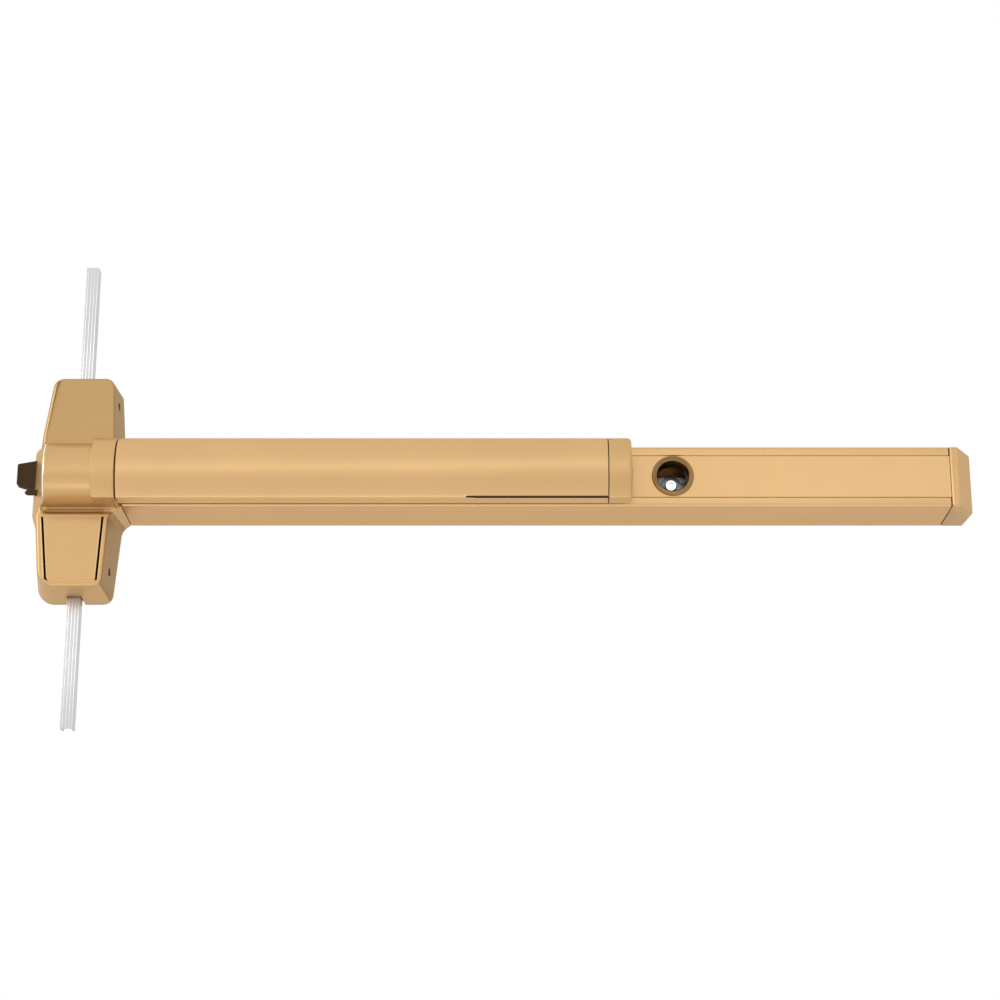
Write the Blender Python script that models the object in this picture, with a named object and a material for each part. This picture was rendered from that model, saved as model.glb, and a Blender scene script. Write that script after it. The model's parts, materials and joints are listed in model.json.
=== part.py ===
"""Vertical rod exit device: a push pad in a channel rail works two rods and a latch bolt.

Metres, +Z up. X runs along the rail, +Y points into the door and Y = 0 is the door's face.
X = 0 is the centre line of the rods and Z = 0 is the centre line of the rail.
"""

import math

import bmesh
import bpy
import numpy as np

# Fits
SEAT_GAP = 0.0003
SLIDE_GAP = 0.0005
PIN_GAP = 0.0002
CHASSIS_GAP = 0.0009

# Centre case
CASE_TOP = 0.0984
CASE_BOTTOM = -0.1048
COVER_WALL = 0.0025
TOP_DRAFT = 0.0010
BOTTOM_DRAFT = 0.0016
TOP_EDGE_RADIUS = 0.0090
BOTTOM_EDGE_RADIUS = 0.0040
LEFT_EDGE_RADIUS = 0.0050
RIGHT_EDGE_RADIUS = 0.0025
TOP_CORNER_RADIUS = 0.0065
LEFT_CORNER_RADIUS = 0.0150
RIGHT_CORNER_RADIUS = 0.0085

# Sides of the case at the door and at its front; past a height they draw in by a slope
LEFT_BASE_X = -0.0432
LEFT_FRONT_X = -0.0313
RIGHT_BASE_X = 0.0373
RIGHT_FRONT_UPPER_X = 0.0360
RIGHT_FRONT_LOWER_X = 0.0345
TAPER_START = 0.0400
LEFT_BASE_START_LOWER = 0.0300
LEFT_BASE_SLOPE_UPPER = 0.084
LEFT_BASE_SLOPE_LOWER = 0.100
LEFT_FRONT_SLOPE = 0.085
RIGHT_BASE_SLOPE = 0.082
RIGHT_FRONT_SLOPE_UPPER = 0.060
RIGHT_FRONT_SLOPE_LOWER = 0.050

# Raised band of the cover, with a nose that carries on the pad's section
BAND_HALF_HEIGHT = 0.0293
BAND_LEFT_FRONT_X = -0.0170
BAND_SIDE_LEAN = 0.36
BAND_RECESS = 0.0012
BAND_SHOULDER = 0.0090
BAND_SHOULDER_INSET = 0.0022
BAND_FOOT = 0.0090
NOSE_LEFT_X = 0.0225
NOSE_RIGHT_X = 0.0435
NOSE_CORNER_RADIUS = 0.0032
NOSE_EDGE_RADIUS = 0.0010
FLARE_HEIGHT = 0.0130
FLARE_POWER = 2.6

# Valley under the band and the two sharp creases of the lower panel
VALLEY_DEPTH = 0.0055
VALLEY_HALF_WIDTH = 0.0050
VALLEY_Z = -0.0324
VALLEY_LEFT_X = -0.0270
VALLEY_FADE = 0.0060
CREASE_TOP_Z = -0.0375
CREASE_BOTTOM_Z = -0.0985
LEFT_CREASE_TOP_X = -0.0252
LEFT_CREASE_BOTTOM_X = -0.0188
RIGHT_CREASE_TOP_X = 0.0310
RIGHT_CREASE_BOTTOM_X = 0.0284
CREASE_WIDTH = 0.0013
CREASE_DEPTH = 0.0016

# Openings of the cover
NECK_LENGTH = 0.0158
NOTCH_CLEARANCE = 0.0009
NOTCH_DEPTH = 0.0025
NOTCH_START = 0.0800

# Rail, a C-shaped extrusion
RAIL_START_X = 0.0458
RAIL_END_X = 0.7987
RAIL_HALF_HEIGHT = 0.0286
RAIL_DEPTH = 0.060
RAIL_WALL = 0.0028
RAIL_EDGE_RADIUS = 0.0030
MOUTH_HALF = 0.0200
LEDGE_HALF = 0.0176
LEDGE_THICKNESS = 0.0018
RAIL_HOLE_HALF_SPACING = 0.0120
RAIL_HOLE_END = 0.0620

# Push pad
PAD_END_X = 0.4899
PAD_CAP_END_X = 0.5062
PAD_SEAM = 0.0012
PAD_HALF_HEIGHT = 0.0295
PAD_CREASE_Z = 0.0248
PAD_FLANGE = 0.0030
PAD_CROWN = 0.0155
PAD_WALL = 0.0022
PAD_LEG_HALF = 0.0165
PAD_LEG_WALL = 0.0020
PAD_LEG_LEAD = 0.0020
PAD_TRAVEL = 0.0180
PAD_STOP_GAP = 0.0005
PAD_BRACKET_DROP = 0.0085
PAD_CAP_ROUNDING = 0.0022
PAD_CAP_WALL = 0.0030
SLIT_START_X = 0.3555
SLIT_LEAD = 0.0300
SLIT_WIDTH = 0.0014
SLIT_DEPTH = 0.0012

# Bell cranks, which turn the pad's push into a pull along the rail
CRANK_X = (0.1200, 0.4400)
PAD_ARM = 0.0380
LINK_ARM = 0.0300
CRANK_THICKNESS = 0.0030
CRANK_ARM_WIDTH = 0.0090
CRANK_HUB_RADIUS = 0.0065
CRANK_HUB_HALF = 0.0077
CRANK_PIN_RADIUS = 0.0030
ARM_PIN_RADIUS = 0.0025
BRACKET_CHEEK = 0.0020
PIN_HEAD = 0.0012
PIN_TAIL = 0.0010
BRACKET_HALF_WIDTH = 0.0095
PAD_BRACKET_HALF_LENGTH = 0.0080
PAD_BRACKET_CHEEK_Z = 0.0050
PAD_BRACKET_FLANGE = 0.0100
PAD_BRACKET_EYE = 0.0050

# Mechanism base on the back wall of the rail
BASE_LEAD = 0.0540
BASE_OVERRUN = 0.0380
BASE_THICKNESS = 0.0020
BASE_HALF_HEIGHT = 0.0215

# Link bar and retractor plate
LINK_CLEARANCE = 0.00195
LINK_WIDTH = 0.0076
LINK_THICKNESS = 0.0030
LINK_START_X = 0.0440
LINK_OVERRUN = 0.0100
LINK_RIVET_SETBACK = 0.0080
LINK_RIVET_RADIUS = 0.0020
RETRACTOR_SETBACK = 0.00185
RETRACTOR_THICKNESS = 0.0030
RETRACTOR_HALF_HEIGHT = 0.0135
RETRACTOR_START_X = -0.0080
RETRACTOR_END_X = 0.0400
FINGER_X = -0.0222
FINGER_THICKNESS = 0.0028
FINGER_DEPTH = 0.0290
FINGER_LOW = 0.0030
FINGER_HIGH = 0.0120
FLANGE_SHEET = 0.0025
FLANGE_OVERLAP = 0.0160

# Rod levers
LEVER_PIVOT_X = 0.0200
LEVER_PIVOT_Z = 0.0260
LEVER_ARM = 0.0200
LEVER_THICKNESS = 0.0030
LEVER_ARM_WIDTH = 0.0096
LEVER_PIN_RADIUS = 0.0030

# Rods
ROD_X = 0.0008
ROD_WIDTH = 0.0117
ROD_FRONT_DEPTH = 0.0240
ROD_DEPTH = 0.0120
ROD_WALL = 0.0020
ROD_RIB = 0.0004
ROD_RIBS = 4
ROD_INNER_END = 0.0480
TOP_ROD_END = 0.2215
BOTTOM_ROD_END = -0.2254
CONNECTOR_THICKNESS = 0.0030
CONNECTOR_HALF_WIDTH = 0.0085
CONNECTOR_HALF_HEAD = 0.0065
CONNECTOR_SHOULDER = 0.0105
CONNECTOR_TONGUE = 0.0660
ROD_PIN_RADIUS = 0.0009
ROD_PIN_Z = 0.0580
GUIDE_LOW = 0.0740
GUIDE_HIGH = 0.0840
GUIDE_WALL = 0.0030

# Chassis plate of the centre case
CHASSIS_THICKNESS = 0.0030
TAB_THICKNESS = 0.0025
TAB_LENGTH = 0.0360
TAB_HALF_HEIGHT = 0.0070
TAB_CLEARANCE = 0.0012
COVER_SCREW_DEPTH = 0.0300
COVER_SCREW_UPPER_Z = 0.0770
COVER_SCREW_LOWER_Z = -0.0815
COVER_SCREW_RADIUS = 0.0021
COVER_SCREW_HEAD_RADIUS = 0.0032
COVER_SCREW_HEAD = 0.0022
COVER_SCREW_SINK = 0.0014
COVER_HOLE_LENGTH = 0.0120
MOUNT_HOLE_RADIUS = 0.0033
MOUNT_HOLE_LEFT_X = -0.0240
MOUNT_HOLE_RIGHT_X = 0.0200
MOUNT_HOLE_Z = 0.0620

# Latch bolt and deadlatch
BOLT_TIP_X = -0.0545
BOLT_TAIL_X = -0.0200
BOLT_FRONT_DEPTH = 0.0420
BOLT_REAR_DEPTH = 0.0210
BOLT_ROOT_TOP = 0.0212
BOLT_ROOT_BOTTOM = -0.0062
BOLT_TIP_TOP = 0.0180
BOLT_TIP_BOTTOM = -0.0016
BOLT_ROOT_X = -0.0370
BOLT_POCKET = 0.0090
BOLT_SLOPE_DEPTH = 0.0110
BOLT_SOFT_EDGE = 0.0008
LATCH_GUIDE_START_X = -0.0310
LATCH_GUIDE_END_X = -0.0140
LATCH_GUIDE_SHEET = 0.0018
LATCH_WINDOW_END_X = -0.0230
WINDOW_OVERLAP = 0.0010
DEADLATCH_TIP_X = -0.0450
DEADLATCH_TAIL_X = -0.0160
DEADLATCH_LEAD = 0.0055
DEADLATCH_RADIUS = 0.0026
SADDLE_WALL = 0.0014
SADDLE_SETBACK = 0.0035

# Cylinder opening and dogging
RING_X = 0.5460
RING_Z = 0.0004
RING_RADIUS = 0.0202
RING_BORE = 0.0142
RING_PROUD = 0.0016
RING_SLEEVE_WALL = 0.0014
RING_SLEEVE_DEPTH = 0.0180
PLATE_THICKNESS = 0.0020
PLATE_START_X = 0.4925
CAM_DEPTH = 0.0300
CAM_RADIUS = 0.0095
CAM_THICKNESS = 0.0030
CAM_ARM = 0.0140
CAM_PIVOT_Z = -0.0009
CAM_STEM_RADIUS = 0.0030
CAM_BOSS_RADIUS = 0.0052
CAM_BOSS_HEIGHT = 0.0030
CAM_ARM_RADIUS = 0.0035
DOGGING_SHEET = 0.0015
DOGGING_HALF_SPAN = 0.0170
DOGGING_FOOT = 0.0080
DOGGING_HALF_HEIGHT = 0.0095

# End cap
CAP_FRONT_LENGTH = 0.0078
CAP_CORNER_X = 0.8208
CAP_CORNER_DEPTH = 0.0350
CAP_END_X = 0.8186
CAP_BEVEL = 0.0022
CAP_WALL = 0.0025
CAP_BRACKET_SHEET = 0.0020
CAP_SCREW_RADIUS = 0.0015
CAP_SCREW_HEAD_RADIUS = 0.0028
CAP_SCREW_DEPTH = 0.0300
CAP_SCREW_HEAD = 0.0012
CAP_SCREW_LENGTH = 0.0090
CAP_BRACKET_LAP = 0.0400
CAP_BRACKET_HALF_WIDTH = 0.0200
CAP_FLANGE_LAP = 0.0120
CAP_FLANGE_HALF_DEPTH = 0.0080

# Worked out from the sizes above
CASE_DEPTH = RAIL_DEPTH
PAD_LIP_DEPTH = RAIL_DEPTH + PAD_TRAVEL + PAD_STOP_GAP
PAD_CREASE_DEPTH = PAD_LIP_DEPTH + PAD_FLANGE
PAD_FRONT_DEPTH = PAD_CREASE_DEPTH + PAD_CROWN
PAD_RADIUS = (PAD_CREASE_Z**2 + PAD_CROWN**2) / (2 * PAD_CROWN)
PAD_CENTRE_DEPTH = PAD_FRONT_DEPTH - PAD_RADIUS
PAD_LEG_REACH = RAIL_DEPTH + PAD_LEG_LEAD
PAD_BRACKET_TOP = PAD_LIP_DEPTH - PAD_BRACKET_DROP
BAND_RISE = PAD_FRONT_DEPTH - BAND_RECESS - CASE_DEPTH
PAD_START_X = NOSE_RIGHT_X + PAD_SEAM
CRANK_SWING = math.asin(PAD_TRAVEL / 2 / PAD_ARM)
LINK_TRAVEL = 2 * LINK_ARM * math.sin(CRANK_SWING)
LEVER_SWING = math.asin(LINK_TRAVEL / 2 / LEVER_ARM)
BASE_START_X = CRANK_X[0] - BASE_LEAD
BASE_END_X = CRANK_X[1] + BASE_OVERRUN
BASE_REAR = RAIL_WALL + SEAT_GAP
BASE_FRONT = BASE_REAR + BASE_THICKNESS
LINK_DEPTH = BASE_FRONT + LINK_CLEARANCE + LINK_WIDTH / 2
CRANK_DEPTH = LINK_DEPTH + LINK_ARM * math.cos(CRANK_SWING)
PAD_PIN_DEPTH = CRANK_DEPTH + PAD_TRAVEL / 2
RETRACTOR_REAR = LINK_DEPTH - RETRACTOR_SETBACK
RETRACTOR_FRONT = RETRACTOR_REAR + RETRACTOR_THICKNESS
LEVER_REAR = RETRACTOR_FRONT + SLIDE_GAP
LEVER_FRONT = LEVER_REAR + LEVER_THICKNESS
CONNECTOR_REAR = LEVER_FRONT + SLIDE_GAP
CONNECTOR_FRONT = CONNECTOR_REAR + CONNECTOR_THICKNESS
LINK_TOP_Z = -CRANK_THICKNESS / 2 - SLIDE_GAP
LINK_BOTTOM_Z = LINK_TOP_Z - LINK_THICKNESS
LINK_RIVET_X = LINK_START_X + LINK_RIVET_SETBACK
PAD_PIN_OFFSET = PAD_ARM * math.cos(CRANK_SWING)
LEVER_PIN_RISE = LEVER_ARM * math.cos(LEVER_SWING)
ROD_REAR_DEPTH = ROD_FRONT_DEPTH - ROD_DEPTH
DEADLATCH_DEPTH = BOLT_FRONT_DEPTH + DEADLATCH_LEAD

materials = {}


def finish(name, colour, roughness, metallic):
    """One Principled material for each finish, made once and shared."""
    if name not in materials:
        material = bpy.data.materials.new(name)
        material.use_nodes = True
        shader = material.node_tree.nodes["Principled BSDF"]
        shader.inputs["Base Color"].default_value = (*colour, 1)
        shader.inputs["Roughness"].default_value = roughness
        shader.inputs["Metallic"].default_value = metallic
        material.diffuse_color = (*colour, 1)
        materials[name] = material
    return materials[name]


def bronze():
    return finish("satin_bronze", (0.73, 0.45, 0.20), 0.38, 0.6)


def steel():
    return finish("zinc_steel", (0.55, 0.55, 0.54), 0.35, 1.0)


def dark_steel():
    return finish("blackened_steel", (0.045, 0.03, 0.02), 0.45, 0.8)


def aluminium():
    return finish("mill_aluminium", (0.78, 0.78, 0.79), 0.35, 0.7)


def plastic():
    return finish("black_nylon", (0.03, 0.03, 0.032), 0.55, 0.0)


def chrome():
    return finish("bright_nickel", (0.62, 0.56, 0.48), 0.18, 1.0)


def closed_object(name, vertices, faces, material, origin=(0, 0, 0), smooth_angle=35):
    """A mesh object with its origin at the given place, its faces turned outwards."""
    mesh = bpy.data.meshes.new(name)
    local = np.asarray(vertices, float) - np.asarray(origin, float)
    mesh.from_pydata([tuple(v) for v in local], [], faces)
    shape = bmesh.new()
    shape.from_mesh(mesh)
    bmesh.ops.remove_doubles(shape, verts=shape.verts, dist=1e-6)
    bmesh.ops.recalc_face_normals(shape, faces=shape.faces)
    shape.to_mesh(mesh)
    shape.free()
    mesh.shade_smooth()
    mesh.set_sharp_from_angle(angle=math.radians(smooth_angle))
    part = bpy.data.objects.new(name, mesh)
    part.location = origin
    bpy.context.scene.collection.objects.link(part)
    mesh.materials.append(material)
    return part


def placed(axis, along, first, second):
    """A world point from a place along an axis and the two other coordinates in order."""
    if axis == "X":
        return (along, first, second)
    if axis == "Y":
        return (first, along, second)
    return (first, second, along)


def extruded(name, outline, axis, start, end, material, origin=(0, 0, 0)):
    """A straight prism: the outline, in the plane across the axis, carried from start to end."""
    count = len(outline)
    vertices = [placed(axis, start, u, v) for u, v in outline]
    vertices += [placed(axis, end, u, v) for u, v in outline]
    faces = [tuple(range(count)), tuple(range(2 * count - 1, count - 1, -1))]
    faces += [(i, (i + 1) % count, count + (i + 1) % count, count + i) for i in range(count)]
    return closed_object(name, vertices, faces, material, origin)


def block(name, low, high, material, origin=(0, 0, 0)):
    """A rectangular block between two corners."""
    outline = [(low[1], low[2]), (high[1], low[2]), (high[1], high[2]), (low[1], high[2])]
    return extruded(name, outline, "X", low[0], high[0], material, origin)


def turned(name, profile, axis, centre, material, origin=(0, 0, 0), steps=24):
    """The profile of (radius, place along the axis) turned round the axis through centre."""
    angles = np.arange(steps) * (2 * math.pi / steps)
    vertices = []
    for radius, along in profile:
        for angle in angles:
            first = centre[0] + radius * math.cos(angle)
            second = centre[1] + radius * math.sin(angle)
            vertices.append(placed(axis, along, first, second))
    rows = len(profile)
    faces = []
    for row in range(rows - 1):
        for i in range(steps):
            j = (i + 1) % steps
            faces.append((row * steps + i, row * steps + j, (row + 1) * steps + j, (row + 1) * steps + i))
    if profile[0] == profile[-1]:
        return closed_object(name, vertices, faces, material, origin)
    faces.append(tuple(range(steps)))
    faces.append(tuple(range(rows * steps - 1, (rows - 1) * steps - 1, -1)))
    return closed_object(name, vertices, faces, material, origin)


def rod_of(name, radius, axis, centre, start, end, material, origin=(0, 0, 0), steps=16):
    """A plain round pin."""
    return turned(name, [(radius, start), (radius, end)], axis, centre, material, origin, steps)


def as_helper(part):
    part.hide_render = True
    part.display_type = "WIRE"
    return part


def cut(part, cutter):
    """Takes the cutter out of the part."""
    modifier = part.modifiers.new("cut_" + cutter.name, "BOOLEAN")
    modifier.operation = "DIFFERENCE"
    modifier.object = as_helper(cutter)
    return part


def join(part, other):
    """Makes the other shape one body with the part."""
    modifier = part.modifiers.new("join_" + other.name, "BOOLEAN")
    modifier.operation = "UNION"
    modifier.object = as_helper(other)
    return part


def arc(centre, radius, start_degrees, end_degrees, steps):
    """Points along an arc, both ends included."""
    angles = np.radians(np.linspace(start_degrees, end_degrees, steps + 1))
    return [(centre[0] + radius * math.cos(a), centre[1] + radius * math.sin(a)) for a in angles]


def slot_outline(start, end, radius, steps=6):
    """A straight bar with round ends between two centres."""
    turn = math.degrees(math.atan2(end[1] - start[1], end[0] - start[0]))
    return arc(start, radius, turn + 90, turn + 270, steps) + arc(end, radius, turn - 90, turn + 90, steps)


# The centre case cover


def drawn_in(height, start, slope):
    """How far a tapering side has drawn in at a height from the middle."""
    return slope * max(0.0, height - start)


def smooth_step(value, start, end):
    """From none at the start to one at the end, level at both."""
    share = min(1.0, max(0.0, (value - start) / (end - start)))
    return share * share * (3 - 2 * share)


def body_left(z):
    """Left edge of the case at the door and at its front face, at a height."""
    if z > 0:
        base = LEFT_BASE_X + drawn_in(z, TAPER_START, LEFT_BASE_SLOPE_UPPER)
    else:
        base = LEFT_BASE_X + drawn_in(-z, LEFT_BASE_START_LOWER, LEFT_BASE_SLOPE_LOWER)
    return base, LEFT_FRONT_X + drawn_in(abs(z), TAPER_START, LEFT_FRONT_SLOPE)


def body_right(z):
    """Right edge of the case at the door and at its front face, at a height."""
    base = RIGHT_BASE_X - drawn_in(abs(z), TAPER_START, RIGHT_BASE_SLOPE)
    if z > 0:
        return base, RIGHT_FRONT_UPPER_X - drawn_in(z, TAPER_START, RIGHT_FRONT_SLOPE_UPPER)
    return base, RIGHT_FRONT_LOWER_X - drawn_in(-z, TAPER_START, RIGHT_FRONT_SLOPE_LOWER)


def left_at(z, depth):
    """Left edge of the case away from the band, at a height and a depth."""
    base, front = body_left(z)
    return base + (front - base) * depth / CASE_DEPTH


def right_at(z, depth):
    """Right edge of the case away from the band, at a height and a depth."""
    base, front = body_right(z)
    return base + (front - base) * depth / CASE_DEPTH


def band_left(z, depth):
    """Left edge of the band: nearly upright at the door and swept in towards the front."""
    share = depth / PAD_FRONT_DEPTH
    reach = BAND_LEFT_FRONT_X - LEFT_BASE_X
    swept = LEFT_BASE_X + reach * (BAND_SIDE_LEAN * share + (1 - BAND_SIDE_LEAN) * share**3)
    shoulder = smooth_step(z, BAND_HALF_HEIGHT - BAND_SHOULDER, BAND_HALF_HEIGHT)
    return swept + BAND_SHOULDER_INSET * shoulder * share


def band_share(z):
    """One within the band, falling to none a little below its foot and at its top."""
    return smooth_step(z, -BAND_HALF_HEIGHT - BAND_FOOT, -BAND_HALF_HEIGHT) * (z <= BAND_HALF_HEIGHT)


def pad_front(z):
    """Depth of the pad's front at a height: an arc down to a crease, then a straight flange."""
    height = abs(z)
    if height <= PAD_CREASE_Z:
        return PAD_CENTRE_DEPTH + math.sqrt(PAD_RADIUS**2 - height**2)
    share = min(1.0, (height - PAD_CREASE_Z) / (PAD_HALF_HEIGHT - PAD_CREASE_Z))
    return PAD_CREASE_DEPTH - PAD_FLANGE * share


def band_front(z):
    """Depth of the band's front at a height: a half ellipse that stands on the case's front."""
    share = min(1.0, abs(z) / BAND_HALF_HEIGHT)
    return CASE_DEPTH + BAND_RISE * math.sqrt(1 - share * share)


def valley_at(x, z):
    """How deep the valley under the band is at a place of the front."""
    away = abs(z - VALLEY_Z) / VALLEY_HALF_WIDTH
    if away >= 1:
        return 0.0
    fade = smooth_step(x, VALLEY_LEFT_X, VALLEY_LEFT_X + VALLEY_FADE)
    return VALLEY_DEPTH * fade * math.cos(away * math.pi / 2) ** 2


def rounded_in(distance, radius):
    """How far a rounded corner draws an edge in at a distance from the corner's end."""
    away = radius - min(radius, max(0.0, distance))
    return radius - math.sqrt(radius**2 - away**2)


def corner_inset(z, depth, wall, bottom_radius):
    """How far the rounded plan corners draw a side in at a height and a depth."""
    share = depth / CASE_DEPTH
    to_top = CASE_TOP - wall - TOP_DRAFT * share - z
    to_bottom = z - CASE_BOTTOM - wall - BOTTOM_DRAFT * share
    return rounded_in(to_top, TOP_CORNER_RADIUS) + rounded_in(to_bottom, bottom_radius)


def flare_share(z):
    """One at the rail's own height, falling to none where the flare meets the case."""
    past = (abs(z) - RAIL_HALF_HEIGHT) / FLARE_HEIGHT
    return max(0.0, 1 - max(0.0, past)) ** FLARE_POWER


def left_edge(z, depth, wall):
    """Left edge of the cover, or of its hollow, at a height and a depth."""
    share = band_share(z)
    side = left_at(z, depth) * (1 - share) + band_left(z, depth) * share
    return side + wall + corner_inset(z, depth, wall, LEFT_CORNER_RADIUS)


def right_edge(z, depth, wall):
    """Right edge of the cover, or of its hollow, at a height and a depth."""
    if depth > CASE_DEPTH:
        return NOSE_RIGHT_X - wall
    side = right_at(z, depth) - corner_inset(z, depth, wall, RIGHT_CORNER_RADIUS)
    return side + (RAIL_START_X - SEAT_GAP - side) * flare_share(z) - wall


def cover_rows(wall):
    """(height, greatest depth) of each cross-section from the bottom end to the top end."""
    bottom = CASE_BOTTOM + wall
    top = CASE_TOP - wall
    depth = CASE_DEPTH - wall
    radius = BOTTOM_EDGE_RADIUS
    corner = bottom + BOTTOM_DRAFT
    flat = corner + radius
    foot = -BAND_HALF_HEIGHT - BAND_FOOT
    rows = [(bottom, SEAT_GAP), (bottom + BOTTOM_DRAFT / 2, depth / 2), (corner, depth - radius)]
    rows += [
        (corner + radius * (1 - math.cos(a)), depth - radius * (1 - math.sin(a)))
        for a in np.radians((30, 60, 90))
    ]
    rows += [(flat + (bottom + LEFT_CORNER_RADIUS - flat) * share, depth) for share in (0.3, 0.65, 1.0)]
    start = rows[-1][0]
    rows += [(start + (foot - start) * share, depth) for share in (0.3, 0.65, 0.95)]
    half = BAND_HALF_HEIGHT - wall
    rows += [(foot + (-half - SEAT_GAP - foot) * share, depth) for share in np.linspace(0.12, 1.0, 8)]
    band = [0.985, 0.95, 0.88, 0.78, 0.64, 0.48, 0.30, 0.12]
    rows += [(-half * share, PAD_FRONT_DEPTH) for share in [1.0] + band]
    rows += [(half * share, PAD_FRONT_DEPTH) for share in band[::-1] + [1.0]]
    flare = RAIL_HALF_HEIGHT + FLARE_HEIGHT
    rows += [(half + SEAT_GAP + (flare - half) * share, depth) for share in (0.0, 0.2, 0.4, 0.65, 1.0)]
    radius = TOP_EDGE_RADIUS
    corner = top - TOP_DRAFT
    start = rows[-1][0]
    rows += [(start + (corner - radius - start) * share, depth) for share in (0.35, 0.75, 0.95)]
    rows += [
        (corner - radius * (1 - math.sin(a)), depth - radius * (1 - math.cos(a)))
        for a in np.radians((18, 36, 54, 72, 90))
    ]
    rows += [(corner + TOP_DRAFT / 2, (depth - radius) / 2), (top, SEAT_GAP)]
    return rows


def front_at(x, z, wall):
    """Depth of the cover's front, or of its hollow's, at a place."""
    if wall > 0:
        if abs(z) <= BAND_HALF_HEIGHT - wall:
            return band_front(z * BAND_HALF_HEIGHT / (BAND_HALF_HEIGHT - wall)) - wall
        under_valley = VALLEY_Z - VALLEY_HALF_WIDTH - wall < z < 0
        return CASE_DEPTH - wall - VALLEY_DEPTH * under_valley
    if abs(z) > BAND_HALF_HEIGHT:
        return CASE_DEPTH - valley_at(x, z)
    return pad_front(z) if x >= nose_left(z) else band_front(z)


def nose_left(z):
    """Left edge of the nose, with its rounded corners."""
    return NOSE_LEFT_X + rounded_in(BAND_HALF_HEIGHT - abs(z), NOSE_CORNER_RADIUS)


def cover_section(z, deepest, wall):
    """The outline of the cover across a height: up the left side, over the front, down the right."""

    def front(x):
        return min(front_at(x, z, wall), deepest)

    def on_front(x):
        return (x, -front(x))

    left_depth = front(VALLEY_LEFT_X)
    radius = min(LEFT_EDGE_RADIUS, 0.8 * left_depth)
    shoulder = left_depth - radius
    points = [(left_edge(z, shoulder * s, wall), -shoulder * s) for s in (0, 0.25, 0.5, 0.75, 0.92)]
    corner_x = left_edge(z, shoulder, wall) + radius
    for a in np.radians((0, 25, 50, 75)):
        points.append((corner_x - radius * math.cos(a), -shoulder - radius * math.sin(a)))
    right_depth = front(NOSE_RIGHT_X)
    right_x = right_edge(z, right_depth, wall)
    nose_x = min(nose_left(z), right_x - 2 * RIGHT_EDGE_RADIUS - SEAT_GAP)
    step_x = nose_x - SEAT_GAP
    points += [on_front(corner_x + (step_x - corner_x) * share) for share in (0, 0.12, 0.35, 0.7, 1.0)]
    in_band = abs(z) <= BAND_HALF_HEIGHT - wall
    soft = min(NOSE_EDGE_RADIUS if in_band else RIGHT_EDGE_RADIUS, 0.8 * right_depth)
    turn_x = right_x - soft
    points += [on_front(nose_x), on_front((nose_x + turn_x) / 2)]
    for a in np.radians((90, 60, 30)):
        points.append((turn_x + soft * math.cos(a), -right_depth + soft * (1 - math.sin(a))))
    edge = right_depth - soft
    if in_band:
        depths = (edge, CASE_DEPTH + NOSE_EDGE_RADIUS, CASE_DEPTH, CASE_DEPTH / 2, 0)
    else:
        depths = (edge, 0.8 * edge, 0.5 * edge, 0.25 * edge, 0)
    points += [(right_edge(z, at, wall), -at) for at in depths]
    return [(x, y, z) for x, y in points]


def past_back(point, reach):
    """A point on the door's face carried out through the open back of the cover."""
    return (point[0], reach, point[2])


def cover_solid(name, wall):
    """A closed solid lofted through the cover's cross-sections, drawn in by the wall."""
    sections = [cover_section(z, depth, wall) for z, depth in cover_rows(wall)]
    if wall > 0:
        sections = [[past_back(s[0], wall), *s, past_back(s[-1], wall)] for s in sections]
    count = len(sections[0])
    vertices = [point for section in sections for point in section]
    faces = []
    for row in range(len(sections) - 1):
        for i in range(count):
            j = (i + 1) % count
            faces.append((row * count + i, row * count + j, (row + 1) * count + j, (row + 1) * count + i))
    faces.append(tuple(range(count)))
    faces.append(tuple(range(len(vertices) - 1, len(vertices) - count - 1, -1)))
    return closed_object(name, vertices, faces, bronze(), smooth_angle=28)


def crease_cutter(name, top_x, bottom_x):
    """A narrow groove that leaves one of the sharp creases of the lower panel."""
    half = CREASE_WIDTH / 2
    outline = [(top_x - half, CREASE_TOP_Z), (top_x + half, CREASE_TOP_Z)]
    outline += [(bottom_x + half, CREASE_BOTTOM_Z), (bottom_x - half, CREASE_BOTTOM_Z)]
    return extruded(name, outline, "Y", -PAD_LIP_DEPTH, -CASE_DEPTH + CREASE_DEPTH, dark_steel())


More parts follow.
